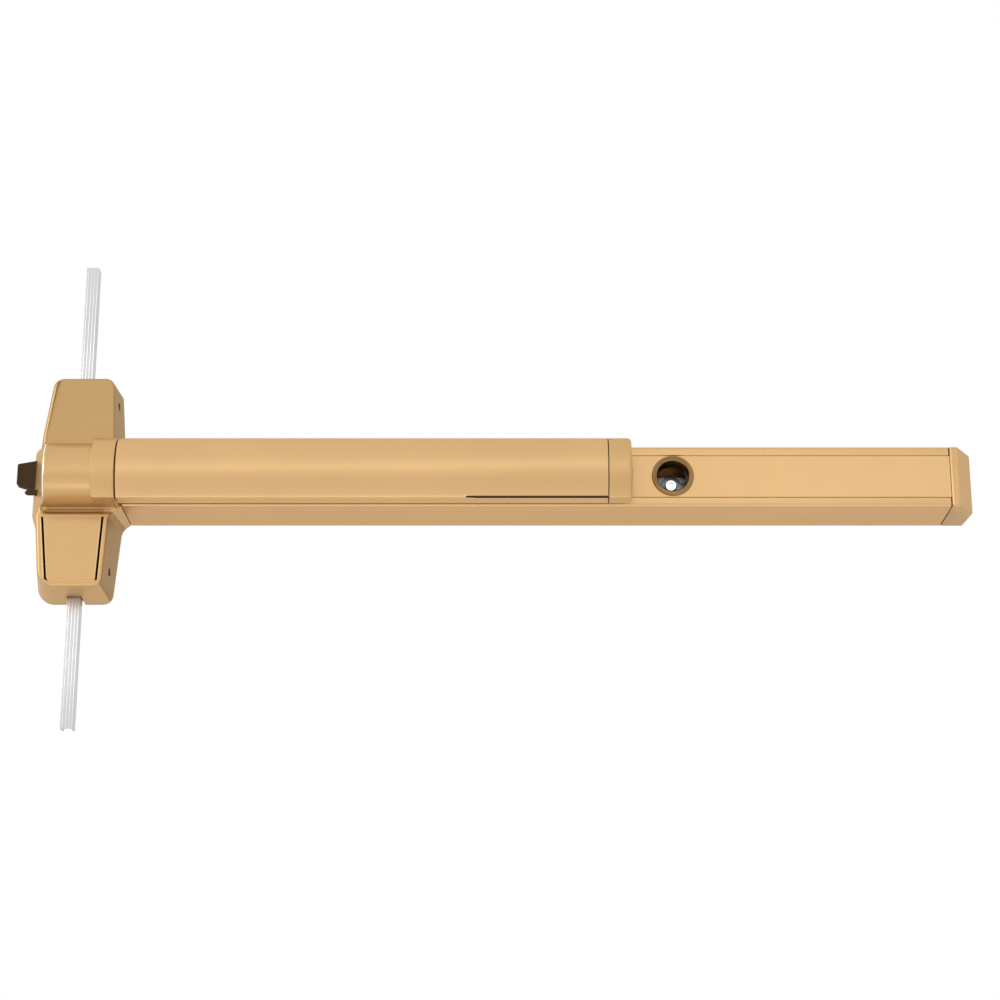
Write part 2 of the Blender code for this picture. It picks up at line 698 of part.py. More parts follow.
def center_case_cover():
    cover = cover_solid("center_case_cover", 0.0)
    cut(cover, cover_solid("cover_hollow", COVER_WALL))
    neck = RAIL_HALF_HEIGHT - RAIL_WALL
    low_corner = (RAIL_START_X - NECK_LENGTH, -RAIL_DEPTH + RAIL_WALL, -neck)
    cut(cover, block("neck_opening", low_corner, (RAIL_START_X + COVER_WALL, COVER_WALL, neck), steel()))
    half = ROD_WIDTH / 2 + NOTCH_CLEARANCE
    deep = ROD_FRONT_DEPTH + NOTCH_DEPTH
    for side in (1, -1):
        low, high = sorted((side * NOTCH_START, side * TOP_ROD_END))
        low_corner = (ROD_X - half, -deep, low)
        cut(cover, block(f"rod_notch_{side}", low_corner, (ROD_X + half, COVER_WALL, high), steel()))
    low_corner = (BOLT_TIP_X, -BOLT_FRONT_DEPTH - SLIDE_GAP, BOLT_ROOT_BOTTOM - SLIDE_GAP)
    high_corner = (LATCH_WINDOW_END_X, -BOLT_REAR_DEPTH + SLIDE_GAP, BOLT_ROOT_TOP + SLIDE_GAP)
    cut(cover, block("bolt_window", low_corner, high_corner, steel()))
    reach = DEADLATCH_RADIUS + SLIDE_GAP
    z = deadlatch_z()
    low_corner = (BOLT_TIP_X, -DEADLATCH_DEPTH - reach, z - reach)
    high_corner = (LATCH_WINDOW_END_X, -DEADLATCH_DEPTH + reach, z + reach)
    cut(cover, block("deadlatch_window", low_corner, high_corner, steel()))
    for name, z in (("upper", COVER_SCREW_UPPER_Z), ("lower", COVER_SCREW_LOWER_Z)):
        centre = (-COVER_SCREW_DEPTH, z)
        radius = COVER_SCREW_HEAD_RADIUS + SEAT_GAP
        middle = right_at(z, COVER_SCREW_DEPTH)
        ends = (middle - COVER_HOLE_LENGTH / 2, middle + COVER_HOLE_LENGTH / 2)
        cut(cover, rod_of("cover_screw_hole_" + name, radius, "X", centre, *ends, steel()))
    cut(cover, crease_cutter("left_crease", LEFT_CREASE_TOP_X, LEFT_CREASE_BOTTOM_X))
    cut(cover, crease_cutter("right_crease", RIGHT_CREASE_TOP_X, RIGHT_CREASE_BOTTOM_X))
    return cover


def chassis_outline():
    """The plate fills the cover's open back, a seat gap inside its wall."""
    deep = CHASSIS_THICKNESS
    inset = COVER_WALL + CHASSIS_GAP
    share = deep / CASE_DEPTH
    bottom = CASE_BOTTOM + inset + BOTTOM_DRAFT * share
    top = CASE_TOP - inset - TOP_DRAFT * share

    def right(z):
        return right_at(z, deep) - inset - corner_inset(z, deep, inset, RIGHT_CORNER_RADIUS)

    def left(z):
        return left_at(z, deep) + inset + corner_inset(z, deep, inset, LEFT_CORNER_RADIUS)

    turns = [1 - math.cos(a) for a in np.radians((0, 25, 45, 65, 90))]
    upper = [top - TOP_CORNER_RADIUS * turn for turn in reversed(turns)]
    right_heights = [bottom + RIGHT_CORNER_RADIUS * turn for turn in turns] + [-TAPER_START, TAPER_START]
    left_heights = [bottom + LEFT_CORNER_RADIUS * turn for turn in turns]
    left_heights += [-LEFT_BASE_START_LOWER, TAPER_START]
    up = [(right(z), z) for z in right_heights + upper]
    down = [(left(z), z) for z in reversed(left_heights + upper)]
    return up + down


def chassis_plate():
    """Steel plate against the door, with two tabs that take the cover's screws."""
    plate = extruded("chassis_plate", chassis_outline(), "Y", -CHASSIS_THICKNESS, 0, steel())
    for name, z in (("upper", COVER_SCREW_UPPER_Z), ("lower", COVER_SCREW_LOWER_Z)):
        outer = tab_outer_x(z)
        low_corner = (outer - TAB_THICKNESS, -TAB_LENGTH, z - TAB_HALF_HEIGHT)
        high_corner = (outer, -CHASSIS_THICKNESS / 2, z + TAB_HALF_HEIGHT)
        join(plate, block("cover_tab_" + name, low_corner, high_corner, steel()))
        centre = (-COVER_SCREW_DEPTH, z)
        ends = (outer - 2 * TAB_THICKNESS, outer + TAB_THICKNESS)
        cut(plate, rod_of("tab_hole_" + name, COVER_SCREW_RADIUS + SEAT_GAP, "X", centre, *ends, steel()))
    for x in (MOUNT_HOLE_LEFT_X, MOUNT_HOLE_RIGHT_X):
        for z in (MOUNT_HOLE_Z, -MOUNT_HOLE_Z):
            ends = (-2 * CHASSIS_THICKNESS, CHASSIS_THICKNESS)
            cut(plate, rod_of(f"chassis_hole_{x}_{z}", MOUNT_HOLE_RADIUS, "Y", (x, z), *ends, steel()))
    return plate


def tab_outer_x(z):
    """The tab stands a seat gap inside the cover's right wall."""
    return min(body_right(z)) - COVER_WALL - SEAT_GAP - TAB_CLEARANCE


def cover_screw(name, z):
    """Oval head screw, with its head in the cover's right side and its shank in the tab."""
    outer = right_at(z, COVER_SCREW_DEPTH) - COVER_SCREW_SINK
    head = outer - COVER_SCREW_HEAD
    tab = tab_outer_x(z)
    head_radius = COVER_SCREW_HEAD_RADIUS
    crown = COVER_SCREW_HEAD / 4
    profile = [(COVER_SCREW_RADIUS, tab - 2 * TAB_THICKNESS), (COVER_SCREW_RADIUS, tab + SEAT_GAP)]
    profile += [(head_radius, head), (head_radius, outer - crown), (head_radius - crown, outer)]
    screw = turned(name, profile, "X", (-COVER_SCREW_DEPTH, z), dark_steel(), steps=16)
    low_corner = (outer - 1.5 * crown, -COVER_SCREW_DEPTH - crown, z - 2 * head_radius)
    high_corner = (outer + crown, -COVER_SCREW_DEPTH + crown, z + 2 * head_radius)
    cut(screw, block(name + "_slot", low_corner, high_corner, steel()))
    return screw


# The rail and what closes it


def rail_outline():
    """Half of the C section, from the middle of the back wall to the mouth, then mirrored."""
    half = RAIL_HALF_HEIGHT
    deep = RAIL_DEPTH
    r = RAIL_EDGE_RADIUS
    soft = RAIL_EDGE_RADIUS / 5
    outer = [(0.0, half - soft), (-soft, half)]
    outer += arc((-deep + r, half - r), r, 90, 180, 3)
    outer += [(-deep, MOUTH_HALF), (-deep + PLATE_THICKNESS + 2 * SEAT_GAP, MOUTH_HALF)]
    outer += [(-deep + PLATE_THICKNESS + 2 * SEAT_GAP, LEDGE_HALF)]
    behind = -deep + PLATE_THICKNESS + 2 * SEAT_GAP + LEDGE_THICKNESS
    outer += [(behind, LEDGE_HALF), (behind, half - RAIL_WALL), (-RAIL_WALL, half - RAIL_WALL)]
    mirrored = [(y, -z) for y, z in reversed(outer)]
    return outer + mirrored


def rail():
    channel = extruded("rail", rail_outline(), "X", RAIL_START_X, RAIL_END_X, bronze())
    for x in ((BASE_END_X + RING_X) / 2, RAIL_END_X - RAIL_HOLE_END):
        for z in (RAIL_HOLE_HALF_SPACING, -RAIL_HOLE_HALF_SPACING):
            name = f"rail_hole_{x}_{z}"
            ends = (-2 * RAIL_WALL, RAIL_WALL)
            cut(channel, rod_of(name, MOUNT_HOLE_RADIUS, "Y", (x, z), *ends, steel(), steps=12))
    return channel


def filler_plate():
    """Plate that closes the rail's mouth beside the pad, with the cylinder hole in it."""
    half = MOUTH_HALF - SEAT_GAP
    front = -RAIL_DEPTH
    rear = front + PLATE_THICKNESS
    soft = SEAT_GAP
    outline = [(rear, -half), (rear, half), (front + soft, half), (front, half - soft)]
    outline += [(front, -half + soft), (front + soft, -half)]
    plate = extruded("filler_plate", outline, "X", PLATE_START_X, RAIL_END_X - SEAT_GAP, bronze())
    radius = RING_BORE + RING_SLEEVE_WALL + SEAT_GAP
    ends = (front - PLATE_THICKNESS, rear + PLATE_THICKNESS)
    cut(plate, rod_of("cylinder_hole", radius, "Y", (RING_X, RING_Z), *ends, steel(), steps=32))
    return plate


def cylinder_ring():
    """Collar in the cylinder hole: a rounded flange outside and a sleeve behind it."""
    face = -RAIL_DEPTH - SEAT_GAP
    bore = RING_BORE
    sleeve = bore + RING_SLEEVE_WALL
    outer = RING_RADIUS
    proud = RING_PROUD
    profile = [(sleeve, face), (outer - SEAT_GAP, face), (outer, face - SEAT_GAP)]
    profile += [(outer - 0.4 * proud, face - 0.7 * proud), (outer - 1.2 * proud, face - proud)]
    profile += [(bore + 1.4 * proud, face - proud), (bore + 0.4 * proud, face - 0.6 * proud), (bore, face)]
    profile += [(bore, face + RING_SLEEVE_DEPTH), (sleeve, face + RING_SLEEVE_DEPTH), (sleeve, face)]
    return turned("cylinder_ring", profile, "Y", (RING_X, RING_Z), bronze(), steps=32)


def dogging_bracket():
    """Sheet bridge on the rail's back wall that carries the dogging cam."""
    rear = -RAIL_WALL - SEAT_GAP
    sheet = DOGGING_SHEET
    top = -CAM_DEPTH + SLIDE_GAP + sheet
    left = RING_X - DOGGING_HALF_SPAN
    right = RING_X + DOGGING_HALF_SPAN
    foot = DOGGING_FOOT
    outline = [(left - foot, rear), (left - foot, rear - sheet), (left - sheet, rear - sheet)]
    outline += [(left - sheet, top - sheet), (right + sheet, top - sheet), (right + sheet, rear - sheet)]
    outline += [(right + foot, rear - sheet), (right + foot, rear), (right, rear), (right, top)]
    outline += [(left, top), (left, rear)]
    half = DOGGING_HALF_HEIGHT
    bridge = extruded("dogging_bracket", outline, "Z", CAM_PIVOT_Z - half, CAM_PIVOT_Z + half, steel())
    radius = CAM_STEM_RADIUS + SLIDE_GAP
    hole = rod_of("cam_hole", radius, "Y", (RING_X, CAM_PIVOT_Z), top - 2 * sheet, top + sheet, steel())
    return cut(bridge, hole)


def dogging_cam():
    """Round cam with one hooked arm and a hexagon socket for the dogging key."""
    front = -CAM_DEPTH - CAM_THICKNESS
    centre = (RING_X, CAM_PIVOT_Z)
    origin = (RING_X, -CAM_DEPTH, CAM_PIVOT_Z)
    soft = SLIDE_GAP
    profile = [(CAM_STEM_RADIUS, -CAM_DEPTH + CAM_THICKNESS), (CAM_STEM_RADIUS, -CAM_DEPTH)]
    profile += [(CAM_RADIUS, -CAM_DEPTH), (CAM_RADIUS, front + soft), (CAM_RADIUS - soft, front)]
    profile += [(CAM_BOSS_RADIUS, front), (CAM_BOSS_RADIUS, front - CAM_BOSS_HEIGHT)]
    cam = turned("dogging_cam", profile, "Y", centre, chrome(), origin)
    arm = slot_outline(centre, (RING_X + CAM_ARM, CAM_PIVOT_Z), CAM_ARM_RADIUS)
    join(cam, extruded("cam_arm", arm, "Y", front + soft, -CAM_DEPTH - soft, steel()))
    ends = (front - 2 * CAM_BOSS_HEIGHT, front + CAM_THICKNESS / 2)
    return cut(cam, rod_of("cam_socket", CAM_STEM_RADIUS, "Y", centre, *ends, steel(), steps=6))


def cap_plan(inset, start):
    """Plan of the end cap, drawn in from its front and its end by the inset."""
    front_x = RAIL_END_X + SEAT_GAP + CAP_FRONT_LENGTH
    corners = [(front_x, RAIL_DEPTH), (CAP_CORNER_X, CAP_CORNER_DEPTH), (CAP_END_X, 0.0)]
    lines = [((start, RAIL_DEPTH), corners[0]), (corners[0], corners[1]), (corners[1], corners[2])]
    moved = []
    for (x0, d0), (x1, d1) in lines:
        length = math.hypot(x1 - x0, d1 - d0)
        across = ((d1 - d0) / length, -(x1 - x0) / length)
        moved.append((x0 + across[0] * inset, d0 + across[1] * inset, x1 - x0, d1 - d0))
    plan = [(start, 0.0), (start, -RAIL_DEPTH + inset)]
    for (ax, ad, au, av), (bx, bd, bu, bv) in zip(moved, moved[1:]):
        along = ((bx - ax) * bv - (bd - ad) * bu) / (au * bv - av * bu)
        plan.append((ax + au * along, -ad - av * along))
    x, depth, run, fall = moved[-1]
    plan.append((x - run * depth / fall, 0.0))
    return plan


def cap_solid(name, wall, start, rear, material):
    """A closed solid of the cap's plan carried up the height, its front edges bevelled."""
    half = RAIL_HALF_HEIGHT - wall
    levels = [(1.0, 0.0), (0.75, 0.45), (0.0, 1.0)]
    heights = [(-half + CAP_BEVEL * rise, wall + CAP_BEVEL * share) for share, rise in levels]
    heights += [(-z, inset) for z, inset in reversed(heights)]
    vertices = []
    for z, inset in heights:
        vertices += [(x, y if y < 0 else rear, z) for x, y in cap_plan(inset, start)]
    count = len(vertices) // len(heights)
    faces = []
    for row in range(len(heights) - 1):
        for i in range(count):
            j = (i + 1) % count
            faces.append((row * count + i, row * count + j, (row + 1) * count + j, (row + 1) * count + i))
    faces.append(tuple(range(count)))
    faces.append(tuple(range(len(vertices) - 1, len(vertices) - count - 1, -1)))
    return closed_object(name, vertices, faces, material, smooth_angle=20)


def end_cap():
    """Cast cap: square where it meets the rail, slanted at its end, hollow and open at its back."""
    start = RAIL_END_X + SEAT_GAP
    half = RAIL_HALF_HEIGHT
    cap = cap_solid("end_cap", 0.0, start, 0.0, bronze())
    cut(cap, cap_solid("cap_hollow", CAP_WALL, start - CAP_WALL, CAP_WALL, steel()))
    centre = (cap_screw_x(), -CAP_SCREW_DEPTH)
    radius = CAP_SCREW_RADIUS + SEAT_GAP
    above = half + CAP_WALL
    cut(cap, rod_of("cap_screw_hole", radius, "Z", centre, half - 2 * CAP_WALL, above, steel()))
    sink = CAP_SCREW_HEAD_RADIUS + SEAT_GAP
    return cut(cap, rod_of("cap_screw_sink", sink, "Z", centre, half - CAP_SCREW_HEAD, above, steel()))


def cap_screw_x():
    return RAIL_END_X + SEAT_GAP + CAP_SCREW_HEAD_RADIUS + SEAT_GAP


def end_cap_bracket():
    """Angle on the rail's back wall that runs into the cap and takes its screw."""
    rear = -RAIL_WALL - SEAT_GAP
    sheet = CAP_BRACKET_SHEET
    right = cap_screw_x() + 2 * CAP_SCREW_RADIUS
    top = RAIL_HALF_HEIGHT - max(RAIL_WALL, CAP_WALL) - SEAT_GAP
    low_corner = (RAIL_END_X - CAP_BRACKET_LAP, rear - sheet, -CAP_BRACKET_HALF_WIDTH)
    foot = block("end_cap_bracket", low_corner, (right, rear, top), steel())
    low_corner = (RAIL_END_X - CAP_FLANGE_LAP, -CAP_SCREW_DEPTH - CAP_FLANGE_HALF_DEPTH, top - sheet)
    join(foot, block("bracket_flange", low_corner, (right, rear - sheet / 2, top), steel()))
    centre = (cap_screw_x(), -CAP_SCREW_DEPTH)
    radius = CAP_SCREW_RADIUS + SEAT_GAP
    return cut(foot, rod_of("bracket_thread", radius, "Z", centre, top - 2 * sheet, top + sheet, steel()))


def end_cap_screw():
    half = RAIL_HALF_HEIGHT
    head = half - CAP_SCREW_HEAD + SEAT_GAP
    crown = CAP_SCREW_HEAD / 2
    profile = [(CAP_SCREW_RADIUS, half - CAP_SCREW_LENGTH), (CAP_SCREW_RADIUS, head)]
    profile += [(CAP_SCREW_HEAD_RADIUS, head), (CAP_SCREW_HEAD_RADIUS, head + crown)]
    profile += [(CAP_SCREW_HEAD_RADIUS - crown, head + 2 * crown)]
    x, y = cap_screw_x(), -CAP_SCREW_DEPTH
    screw = turned("end_cap_screw", profile, "Z", (x, y), steel(), steps=16)
    reach = 2 * CAP_SCREW_HEAD_RADIUS
    low_corner = (x - reach, y - crown, head + crown)
    high_corner = (x + reach, y + crown, head + 3 * crown)
    return cut(screw, block("end_cap_screw_slot", low_corner, high_corner, steel()))


# The push pad


def pad_curve(inset, turn_end, steps):
    """Points over the pad's rounded front, from below to above, on its arc drawn in by the inset."""
    radius = PAD_RADIUS - inset
    turns = np.linspace(-turn_end, turn_end, steps + 1)
    return [(-PAD_CENTRE_DEPTH - radius * math.cos(a), radius * math.sin(a)) for a in turns]


def pad_front_outline(steps):
    """The pad's outer side: a flange, the arc between the creases, the other flange."""
    end = math.asin(PAD_CREASE_Z / PAD_RADIUS)
    lip = (-PAD_LIP_DEPTH, PAD_HALF_HEIGHT)
    return [(lip[0], -lip[1])] + pad_curve(0.0, end, steps) + [lip]


def pad_outline():
    """Section of the pad: a curved skin with two legs that run into the rail's mouth."""
    radius = PAD_RADIUS - PAD_WALL
    rear = math.acos((PAD_LIP_DEPTH - PAD_CENTRE_DEPTH) / radius)
    inner = pad_curve(PAD_WALL, rear, 14)
    leg = PAD_LEG_HALF
    inside = leg - PAD_LEG_WALL
    reach = -PAD_LEG_REACH

    def skin(z):
        return -PAD_CENTRE_DEPTH - math.sqrt(radius**2 - z**2)

    outline = pad_front_outline(18)
    outline += [(y, z) for y, z in reversed(inner) if z > leg]
    outline += [(skin(leg), leg), (reach, leg), (reach, inside), (skin(inside), inside)]
    outline += [(y, z) for y, z in reversed(inner) if abs(z) < inside]
    outline += [(skin(inside), -inside), (reach, -inside), (reach, -leg), (skin(leg), -leg)]
    outline += [(y, z) for y, z in reversed(inner) if z < -leg]
    return outline


def push_pad():
    pad = extruded("push_pad", pad_outline(), "X", PAD_START_X, PAD_END_X, bronze())
    high = -PAD_CREASE_Z + SLIT_WIDTH
    low = -PAD_CREASE_Z
    past = PAD_END_X + PAD_WALL
    outline = [(SLIT_START_X, high), (SLIT_START_X, high - SLIT_WIDTH / 4), (SLIT_START_X + SLIT_LEAD, low)]
    outline += [(past, low), (past, high)]
    leg = PAD_LEG_HALF + SLIDE_GAP
    low_corner = (PAD_START_X - PAD_WALL, -PAD_LIP_DEPTH, -leg)
    high_corner = (RAIL_START_X + 2 * PAD_SEAM, -PAD_LEG_REACH + PAD_LEG_LEAD, leg)
    cut(pad, block("leg_relief", low_corner, high_corner, steel()))
    y = -pad_front(low)
    return cut(pad, extruded("lip_slit", outline, "Y", y - 2 * PAD_WALL, y + SLIT_DEPTH, dark_steel()))


def pad_end_cap():
    """Moulded end of the pad: the pad's section closed by a rounded end wall."""
    start = PAD_END_X + SEAT_GAP
    end = PAD_CAP_END_X
    section = pad_front_outline(18)
    count = len(section)
    vertices = []
    for turn in np.radians((0, 30, 60, 90)):
        shrink = PAD_CAP_ROUNDING * (1 - math.cos(turn))
        x = end - PAD_CAP_ROUNDING * (1 - math.sin(turn))
        narrow = 1 - shrink / PAD_HALF_HEIGHT
        flat = 1 - shrink / (PAD_FRONT_DEPTH - PAD_LIP_DEPTH)
        x = start if turn == 0 else x
        vertices += [(x, (y + PAD_LIP_DEPTH) * flat - PAD_LIP_DEPTH, z * narrow) for y, z in section]
    rings = len(vertices) // count
    faces = [tuple(range(count)), tuple(range(len(vertices) - 1, len(vertices) - count - 1, -1))]
    for row in range(rings - 1):
        for i in range(count):
            j = (i + 1) % count
            faces.append((row * count + i, row * count + j, (row + 1) * count + j, (row + 1) * count + i))
    cap = closed_object("pad_end_cap", vertices, faces, bronze())
    rear = math.acos((PAD_LIP_DEPTH - PAD_CENTRE_DEPTH) / (PAD_RADIUS - PAD_WALL))
    inner = pad_curve(PAD_WALL, rear, 14)
    behind = -PAD_LIP_DEPTH + PAD_WALL
    inner = [(behind, inner[0][1])] + inner + [(behind, inner[-1][1])]
    return cut(cap, extruded("pad_cap_hollow", inner, "X", start - PAD_WALL, end - PAD_CAP_WALL, steel()))


def pad_bracket(name, pivot_x):
    """Folded bracket between the pad's legs that pushes the pin on the crank's long arm."""
    x = pivot_x - PAD_PIN_OFFSET
    half = PAD_LEG_HALF - PAD_LEG_WALL - SEAT_GAP
    cheek = PAD_BRACKET_CHEEK_Z
    sheet = BRACKET_CHEEK
    top = -PAD_BRACKET_TOP
    flange = top + PAD_BRACKET_FLANGE
    eye = -PAD_PIN_DEPTH + PAD_BRACKET_EYE
    outline = [(top, -half), (flange, -half), (flange, -half + sheet), (top + sheet, -half + sheet)]
    outline += [(top + sheet, -cheek - sheet), (eye, -cheek - sheet), (eye, -cheek), (top + sheet, -cheek)]
    outline += [(y, -z) for y, z in reversed(outline)]
    ends = (x - PAD_BRACKET_HALF_LENGTH, x + PAD_BRACKET_HALF_LENGTH)
    bracket = extruded(name, outline, "X", *ends, steel())
    radius = ARM_PIN_RADIUS + SEAT_GAP
    return cut(bracket, rod_of(name + "_bore", radius, "Z", (x, -PAD_PIN_DEPTH), -half, half, steel()))


def pad_pin(name, pivot_x):
    """Headed pin through the bracket's cheeks and the slot of the crank's long arm."""
    centre = (pivot_x - PAD_PIN_OFFSET, -PAD_PIN_DEPTH)
    seat = PAD_BRACKET_CHEEK_Z + BRACKET_CHEEK + SEAT_GAP
    profile = [(ARM_PIN_RADIUS, -seat - PIN_TAIL), (ARM_PIN_RADIUS, seat)]
    profile += [(ARM_PIN_RADIUS + PIN_HEAD, seat), (ARM_PIN_RADIUS + PIN_HEAD, seat + PIN_HEAD)]
    return turned(name, profile, "Z", centre, steel(), steps=16)


# Bell cranks and link


def bell_crank(name, pivot_x):
    """Two-armed lever on a vertical pin, drawn where it stands with the pad out."""
    origin = (pivot_x, -CRANK_DEPTH, 0.0)
    centre = (pivot_x, -CRANK_DEPTH)
    swing = CRANK_SWING
    long_end = (pivot_x - PAD_ARM * math.cos(swing), -CRANK_DEPTH - PAD_ARM * math.sin(swing))
    short_end = (pivot_x - LINK_ARM * math.sin(swing), -CRANK_DEPTH + LINK_ARM * math.cos(swing))
    half = CRANK_THICKNESS / 2
    width = CRANK_ARM_WIDTH / 2
    crank = turned(
        name,
        [(CRANK_HUB_RADIUS, -CRANK_HUB_HALF), (CRANK_HUB_RADIUS, CRANK_HUB_HALF)],
        "Z",
        centre,
        steel(),
        origin,
    )
    join(crank, extruded(name + "_long", slot_outline(centre, long_end, width), "Z", -half, half, steel()))
    join(crank, extruded(name + "_short", slot_outline(centre, short_end, width), "Z", -half, half, steel()))
    bore = CRANK_PIN_RADIUS + SEAT_GAP
    ends = (-2 * CRANK_HUB_HALF, 2 * CRANK_HUB_HALF)
    cut(crank, rod_of(name + "_bore", bore, "Z", centre, *ends, steel()))
    for kind, end, arm in (("pad", long_end, PAD_ARM), ("link", short_end, LINK_ARM)):
        slack = arm * (1 - math.cos(swing))
        away = np.array(end) - np.array(centre)
        away = away / np.linalg.norm(away)
        inner = np.array(end) - away * slack
        outline = slot_outline(tuple(inner), end, ARM_PIN_RADIUS + SLIDE_GAP)
        ends = (-CRANK_THICKNESS, CRANK_THICKNESS)
        cut(crank, extruded(f"{name}_{kind}_slot", outline, "Z", *ends, steel()))
    return crank


def mechanism_base():
    """Steel strip on the rail's back wall, with two pairs of cheeks that carry the crank pins."""
    low = (BASE_START_X, -BASE_FRONT, -BASE_HALF_HEIGHT)
    base = block("mechanism_base", low, (BASE_END_X, -BASE_REAR, BASE_HALF_HEIGHT), steel())
    inner = CRANK_HUB_HALF + SEAT_GAP
    outer = inner + BRACKET_CHEEK
    half = BRACKET_HALF_WIDTH
    root = -BASE_FRONT + BASE_THICKNESS / 2
    for number, pivot_x in enumerate(CRANK_X):
        centre = (pivot_x, -CRANK_DEPTH)
        outline = [(pivot_x - half, root)] + arc(centre, half, 180, 360, 8) + [(pivot_x + half, root)]
        for side, (start, end) in enumerate(((inner, outer), (-outer, -inner))):
            join(base, extruded(f"cheek_{number}_{side}", outline, "Z", start, end, steel()))
        ends = (-outer - BRACKET_CHEEK, outer + BRACKET_CHEEK)
        cut(base, rod_of(f"cheek_bore_{number}", CRANK_PIN_RADIUS + SEAT_GAP, "Z", centre, *ends, steel()))
    return base


def crank_pin(name, pivot_x):
    """Headed pin through both cheeks and the crank's hub."""
    end = CRANK_HUB_HALF + BRACKET_CHEEK + 2 * SEAT_GAP
    profile = [(CRANK_PIN_RADIUS, -end - PIN_TAIL), (CRANK_PIN_RADIUS, end)]
    profile += [(CRANK_PIN_RADIUS + PIN_HEAD, end), (CRANK_PIN_RADIUS + PIN_HEAD, end + PIN_HEAD)]
    return turned(name, profile, "Z", (pivot_x, -CRANK_DEPTH), steel(), steps=16)


def link_pin_x(pivot_x):
    return pivot_x - LINK_TRAVEL / 2


def actuator_link():
    """Flat bar from the centre case to the far crank."""
    start = LINK_START_X
    end = link_pin_x(CRANK_X[1]) + LINK_OVERRUN
    half = LINK_WIDTH / 2
    outline = slot_outline((start + half, -LINK_DEPTH), (end - half, -LINK_DEPTH), half)
    bar = extruded("actuator_link", outline, "Z", LINK_BOTTOM_Z, LINK_TOP_Z, steel())
    holes = [(link_pin_x(pivot_x), ARM_PIN_RADIUS) for pivot_x in CRANK_X]
    holes.append((LINK_RIVET_X, LINK_RIVET_RADIUS))
    ends = (LINK_BOTTOM_Z - LINK_THICKNESS, LINK_TOP_Z + LINK_THICKNESS)
    for x, radius in holes:
        cut(bar, rod_of(f"link_bore_{x}", radius + SEAT_GAP, "Z", (x, -LINK_DEPTH), *ends, steel()))
    return bar


def link_pin(name, pivot_x):
    """Pin of the link bar, with its head below and its end in the slot of the crank's short arm."""
    centre = (link_pin_x(pivot_x), -LINK_DEPTH)
    low = LINK_BOTTOM_Z - SEAT_GAP
    head = ARM_PIN_RADIUS + PIN_HEAD / 2
    profile = [(head, low - PIN_TAIL), (head, low), (ARM_PIN_RADIUS, low)]
    profile += [(ARM_PIN_RADIUS, CRANK_THICKNESS / 2 + PIN_TAIL)]
    return turned(name, profile, "Z", centre, steel(), steps=16)


def retractor():
    """Plate that the link pulls: it works both levers and draws the latch bolt."""
    rear = -RETRACTOR_REAR
    front = -RETRACTOR_FRONT
    half = RETRACTOR_HALF_HEIGHT
    left = RETRACTOR_START_X
    right = RETRACTOR_END_X
    finger = FINGER_X - FINGER_THICKNESS
    outline = [(left, -half), (right, -half), (right, half), (left, half), (left, FINGER_HIGH)]
    outline += [(finger, FINGER_HIGH), (finger, FINGER_LOW), (left, FINGER_LOW)]
    plate = extruded("retractor", outline, "Y", front, rear, steel())
    middle = (front + rear) / 2
    low_corner = (finger, -FINGER_DEPTH, FINGER_LOW)
    join(plate, block("retractor_finger", low_corner, (FINGER_X, middle, FINGER_HIGH), steel()))
    low = LINK_TOP_Z + SEAT_GAP
    low_corner = (right - WINDOW_OVERLAP, -LINK_DEPTH - LINK_WIDTH / 2, low)
    high_corner = (LINK_START_X + FLANGE_OVERLAP, rear, low + FLANGE_SHEET)
    join(plate, block("retractor_flange", low_corner, high_corner, steel()))
    ends = (low - FLANGE_SHEET, low + 2 * FLANGE_SHEET)
    radius = LINK_RIVET_RADIUS + SEAT_GAP
    cut(plate, rod_of("flange_bore", radius, "Z", (LINK_RIVET_X, -LINK_DEPTH), *ends, steel()))
    x = LEVER_PIVOT_X - LINK_TRAVEL / 2
    near = LEVER_PIVOT_Z - LEVER_ARM
    far = LEVER_PIVOT_Z - LEVER_PIN_RISE
    for side in (1, -1):
        slot = sorted((side * near, side * far))
        outline = slot_outline((x, slot[0]), (x, slot[1]), ARM_PIN_RADIUS + SLIDE_GAP)
        ends = (front - RETRACTOR_THICKNESS, rear + RETRACTOR_THICKNESS)
        cut(plate, extruded(f"lever_slot_{side}", outline, "Y", *ends, steel()))
    return plate


def link_rivet():
    """Rivet that holds the retractor's flange on the link bar."""
    low = LINK_BOTTOM_Z - SEAT_GAP
    top = LINK_TOP_Z + 2 * SEAT_GAP + FLANGE_SHEET
    shank = LINK_RIVET_RADIUS
    head = shank + PIN_HEAD
    profile = [(head, low - PIN_TAIL), (head, low), (shank, low), (shank, top), (head, top)]
    profile += [(head - SLIDE_GAP, top + PIN_TAIL)]
    return turned("link_rivet", profile, "Z", (LINK_RIVET_X, -LINK_DEPTH), steel(), steps=16)


# Levers, rods and guides


